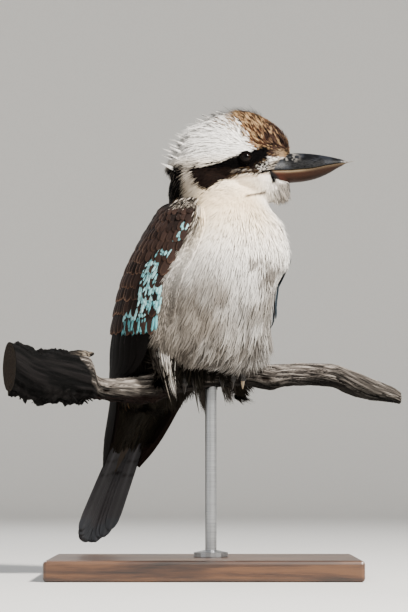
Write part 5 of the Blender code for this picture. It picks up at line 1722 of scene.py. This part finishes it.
def joined_tubes(name, tubes, finish, slot, tone):
    """Joins closed lofts into one piece and colours them by place."""
    points, faces = joined([tube_mesh(rings) for rings in tubes])
    return turned_outwards(mesh_piece(name, points, faces, finish, slot, tone(points), grain=points))


# The branch


def make_branch(finish):
    """The dead branch: dark, flaking bark on the thick end, and bare, cracked and twisted wood beyond it."""
    x = np.linspace(PERCH_ROWS[0][0], PERCH_ROWS[-1][0], 620)[:, None]
    middle, radius = perch_at(x)
    turns = 2 * np.pi * np.arange(128) / 128
    high = np.sin(turns)
    side = np.cos(turns)[:, None] * PERCH_FLAT + high[:, None] * UP
    base = middle + radius[..., None] * side
    # The fibres wind slowly round the branch
    wound = turns + x / 85
    unrolled = np.stack([x + 0 * wound, 14 * np.cos(wound), 14 * np.sin(wound)], -1)

    def drawn(run, size, seed):
        """Noise that is drawn out along the fibres."""
        return cloud(unrolled * np.array([run, 1, 1]), size, seed)

    def mark(at_x, at_turn, wide, tall):
        """A spot on the branch, at a place along it and a turn round it in degrees."""
        around = (turns - math.radians(at_turn) + np.pi) % (2 * np.pi) - np.pi
        return np.exp(-(((x - at_x) / wide) ** 2) - (around * radius / tall) ** 2)

    # Bare wood, and the flakes and shaggy lumps of bark
    ridges = drawn(0.16, 2.2, 1) * 0.55 + cloud(unrolled * np.array([0.16, 1, 1.2]), 1.0, 2) * 0.45
    swell = drawn(0.4, 14.0, 3)
    plates = drawn(0.5, 5.0, 4)
    fibres = drawn(0.12, 1.6, 5)
    bark = soft((-101 - 7 * high - x + 6 * (cloud(base, 7.0, 7) - 0.5)) / 2)
    under = soft((-0.25 - high) * 2.2) * soft((-18 - x) / 24)
    shaggy = spot(turns, math.radians(92), 0.36) * soft((x + 163) / 4) * soft((-114 - x) / 5)
    shaggy = shaggy + spot(turns, math.radians(266), 0.42) * soft((-101 - x) / 5)
    lumps = soft((drawn(0.8, 3.4, 14) - 0.42) * 5)
    flakes = fibres * 1.5 + (plates - 0.5) * 1.2 - 1.2
    flakes = flakes + shaggy * lumps * (2.6 + 2.6 * cloud(unrolled, 1.3, 15))
    lift = ((ridges - 0.6) * 1.9 + (swell - 0.5) * 2.0) * (1 - bark) + flakes * bark
    lift = lift + under * (cloud(unrolled, 3.0, 6) - 0.5) * 2.4
    # A knot, a hole beside it, a small hole, and a torn lump under the branch
    hole, small_hole = mark(51, -14, 4.2, 2.0), mark(-87, -10, 2.2, 1.4)
    torn, tears = mark(-45, -50, 6, 7), cloud(unrolled, 1.9, 9)
    lift = lift + 2.0 * mark(63, -20, 6.5, 5) - 3.4 * hole - 2.2 * small_hole + torn * (2.6 + 3.2 * (tears - 0.4))
    cracks = np.zeros_like(ridges)
    for k, wide in enumerate((0.02, 0.026, 0.034)):
        line = soft(1.3 - np.abs(drawn(0.13, 3.0 + 1.5 * k, 17 + k) - 0.5) / wide)
        cracks = np.maximum(cracks, line * soft((cloud(unrolled, 16.0, 20 + k) - 0.3) * 5))
    lift = lift - 0.9 * cracks * (1 - bark)
    points = base + lift[..., None] * side

    wood = mix(linear("#2b2724"), linear("#69635d"), soft((ridges - 0.3) * 1.9))
    wood = wood * (0.55 + 0.9 * soft((drawn(0.1, 0.75, 16) - 0.25) * 2))[..., None]
    wood = mix(wood, linear("#050403"), 0.95 * cracks)
    # Painted light: the top of the branch lighter, and the lit neck in the middle lighter still
    wood = wood * (1 + 0.7 * soft(high * 1.5))[:, None]
    wood = mix(wood, linear("#37332f"), 0.5 * soft((swell - 0.5) * 3))
    lit_middle = soft(1.5 - np.abs(x + 66) / 26) * soft(0.4 + high)
    wood = mix(wood, wood * 1.9, lit_middle)
    # Painted shade: the underside darker, and a reddish dark shade under the thick end
    wood = mix(wood, wood * 0.2, soft((-0.1 - high) * 1.6))
    wood = mix(wood, linear("#120806"), 0.9 * under * soft((plates - 0.15) * 3))
    husk = mix(linear("#020202"), linear("#110f0f"), soft((fibres - 0.3) * 2))
    colour = mix(wood, husk, bark)
    colour = mix(colour, linear("#17110d"), np.clip(hole * 1.6 + small_hole * 1.6, 0, 1))
    colour = mix(colour, linear("#231a15"), 0.8 * torn * soft((0.55 - tears) * 6))
    # The sawn end, with its growth rings
    share = np.linspace(0.06, 0.94, 30)[:, None]
    sawn = points[:1] + (middle[0] - points[:1]) * (1 - share[..., None])
    sawn = sawn + PERCH_AXIS * (0.25 * cloud(sawn, 1.2, 6))[..., None]
    rings = 0.5 + 0.5 * np.sin(share * 46 + 1.2 * cloud(sawn, 7.0, 3))
    end_wood = mix(linear("#2f251b"), linear("#19120c"), rings)
    mesh_points, faces = tube_mesh(np.concatenate([sawn, points]))
    colours = np.concatenate([end_wood, colour]).reshape(-1, 3)
    colours = np.concatenate([colours, [linear("#19120c"), linear("#2a2520")]])
    grain = np.concatenate([np.concatenate([sawn, unrolled]).reshape(-1, 3), mesh_points[-2:]])
    branch = turned_outwards(mesh_piece("branch", mesh_points, faces, finish, "dead_wood", colours, grain=grain))
    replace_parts(branch, "perch_branch")


def spur_colours(points):
    grey = soft((cloud(points * np.array([0.3, 1, 1]), 1.2, 3) - 0.3) * 2) * soft((points[:, 0] + 114) / 16)
    return mix(linear("#1a1715"), linear("#776d61"), grey)


def make_spur(finish):
    """The broken spur on top of the branch."""
    t = np.linspace(0, 1, 40)
    path = SNAG_ROOT + np.subtract(SNAG_TIP, SNAG_ROOT) * t[:, None] + UP * (1.5 * np.sin(np.pi * t))[:, None]
    rings = round_rings(path, np.interp(t, (0, 0.6, 1), (8, 4.6, 0.8)), 40)
    rough = cloud(rings * np.array([0.3, 1, 1]), 1.8, 3) - 0.5
    rings = rings + rough[..., None] * 1.8 * unit(rings - path[:, None])
    joined_tubes("branch_spur", [rings], finish, "dead_wood", spur_colours)


def make_bark_flakes(finish):
    """Small curls of bark that stand off the thick end, along its top and its underside."""
    draw = np.random.default_rng(31)
    count = 130
    above = np.arange(count) % 3 == 0
    x = np.where(above, draw.uniform(-160, -116, count), draw.uniform(-165, -100, count))
    turn = np.radians(np.where(above, 92, 268) + draw.normal(0, 16, count))
    middle, radius = perch_at(x)
    out = np.cos(turn)[:, None] * PERCH_FLAT + np.sin(turn)[:, None] * UP
    share = np.linspace(0, 1, 5)
    length = draw.uniform(2.5, 7, count)[:, None, None]
    along = unit(PERCH_AXIS * draw.choice([-1, 1], count)[:, None] + draw.normal(0, 0.25, (count, 3)))
    lift = draw.uniform(0.1, 0.75, count)[:, None, None]
    middles = (middle + out * radius[:, None])[:, None] + along[:, None] * length * (share[:, None] - 0.3)
    middles = middles + out[:, None] * (length * lift * share[:, None] ** 1.5 - 0.8)
    width = draw.uniform(0.8, 2.2, count)[:, None] * np.array([0.7, 1, 1.05, 0.85, 0.4])
    width = width * draw.uniform(0.75, 1.2, (count, 5))
    points, faces, _, _ = blades(middles, out[:, None], width, 0 * width + 0.7, 4)
    colours = mix(linear("#020202"), linear("#100e0d"), cloud(points, 2.5, 4))
    mesh_piece("bark_flakes", points, faces, finish, "dead_wood", colours, grain=points.reshape(-1, 3))


# Stage


def make_stage(finish):
    """A seamless round sweep of paper: floor, cove and wall, the same from all sides."""
    cove = [(3.2 + 0.9 * math.sin(a), 0.9 - 0.9 * math.cos(a)) for a in np.linspace(0.15, math.pi / 2, 12)]
    profile = [(1.2, 0.0), (2.4, 0.0), (3.2, 0.0), *cove, (4.1, 1.6), (4.1, 2.4), (4.1, 3.2)]
    sides = 96
    turns = 2 * np.pi * np.arange(sides) / sides
    points = [(r * math.cos(a), r * math.sin(a), z) for r, z in profile for a in turns]
    middle = len(points)
    faces = [(middle, k, (k + 1) % sides) for k in range(sides)]
    faces += sheet_faces(len(profile), sides, closed=True)[:, ::-1].tolist()
    mesh = bpy.data.meshes.new("studio_sweep")
    mesh.from_pydata(points + [(0, 0, 0)], [], faces)
    mesh.shade_smooth()
    mesh.materials.append(finish)
    placed("studio_sweep", mesh)


def aimed(made, at):
    made.rotation_euler = (Vector(at) - made.location).to_track_quat("-Z", "Y").to_euler()


def make_light(name, place, at, size, power, colour):
    lamp = bpy.data.lights.new(name, "AREA")
    lamp.size = size
    lamp.energy = power
    lamp.color = colour
    made = placed(name, lamp)
    made.location = place
    aimed(made, at)


def make_lights():
    target = (0.0, 0.0, 0.28)
    make_light("key", (1.3, -1.5, 1.8), target, 0.3, 265, (1.0, 0.96, 0.9))
    make_light("fill", (-1.6, -1.5, 0.9), target, 1.6, 8, (0.9, 0.95, 1.0))
    make_light("rim", (-0.9, 1.6, 1.5), target, 0.9, 20, (0.95, 0.97, 1.0))
    world = bpy.data.worlds.new("studio_air")
    world.use_nodes = True
    sky = world.node_tree.nodes["Background"].inputs
    sky["Color"].default_value = (0.86, 0.9, 1.0, 1)
    sky["Strength"].default_value = 0.34
    bpy.context.scene.world = world


# The camera's place, what it looks at, and how much of the object fills the picture's height, in metres
CAMERA_AT = (0.0, -2.2, 0.09)
CAMERA_TARGET = (0.0, 0.0, 0.238)
PICTURE_HEIGHT = 0.5386


def make_camera():
    """The photograph's framing."""
    lens = bpy.data.cameras.new("camera")
    made = placed("camera", lens)
    made.location = CAMERA_AT
    aimed(made, CAMERA_TARGET)
    lens.sensor_width = 36
    lens.lens = lens.sensor_width * math.dist(CAMERA_AT, CAMERA_TARGET) / PICTURE_HEIGHT
    bpy.context.scene.camera = made


def main():
    down = down_finish()
    vane = vane_finish()
    skin_look = skin_finish()
    skin = make_skin(skin_look)
    sites = skin_sites(skin)
    make_head_coat(sites, down)
    make_spikes(down)
    make_bristles(down)
    make_body_coat(sites, down)
    make_back_coat(sites, down)
    make_vent_feathers(down)
    make_thigh_tuft(down)
    make_wings(vane, down)
    make_tail(vane, down)
    make_eyes(eye_finish(), skin_look)
    make_bill(horn_finish("bill_black_horn", 0.32, 0.35, 0.24), horn_finish("bill_pale_horn", 0.42, 0.18, 0.12))
    make_feet(foot_finish(), horn_finish("claw_horn", 0.4, 0.3, 0.3))
    wood = dead_wood_finish()
    make_branch(wood)
    make_spur(wood)
    make_bark_flakes(wood)
    for node, finish in (("stand_base", stand_wood_finish()), ("stand_rod", stand_steel_finish())):
        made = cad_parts[node]
        made.data.materials.clear()
        made.data.materials.append(finish)
    make_stage(floor_finish())
    make_lights()
    make_camera()


main()
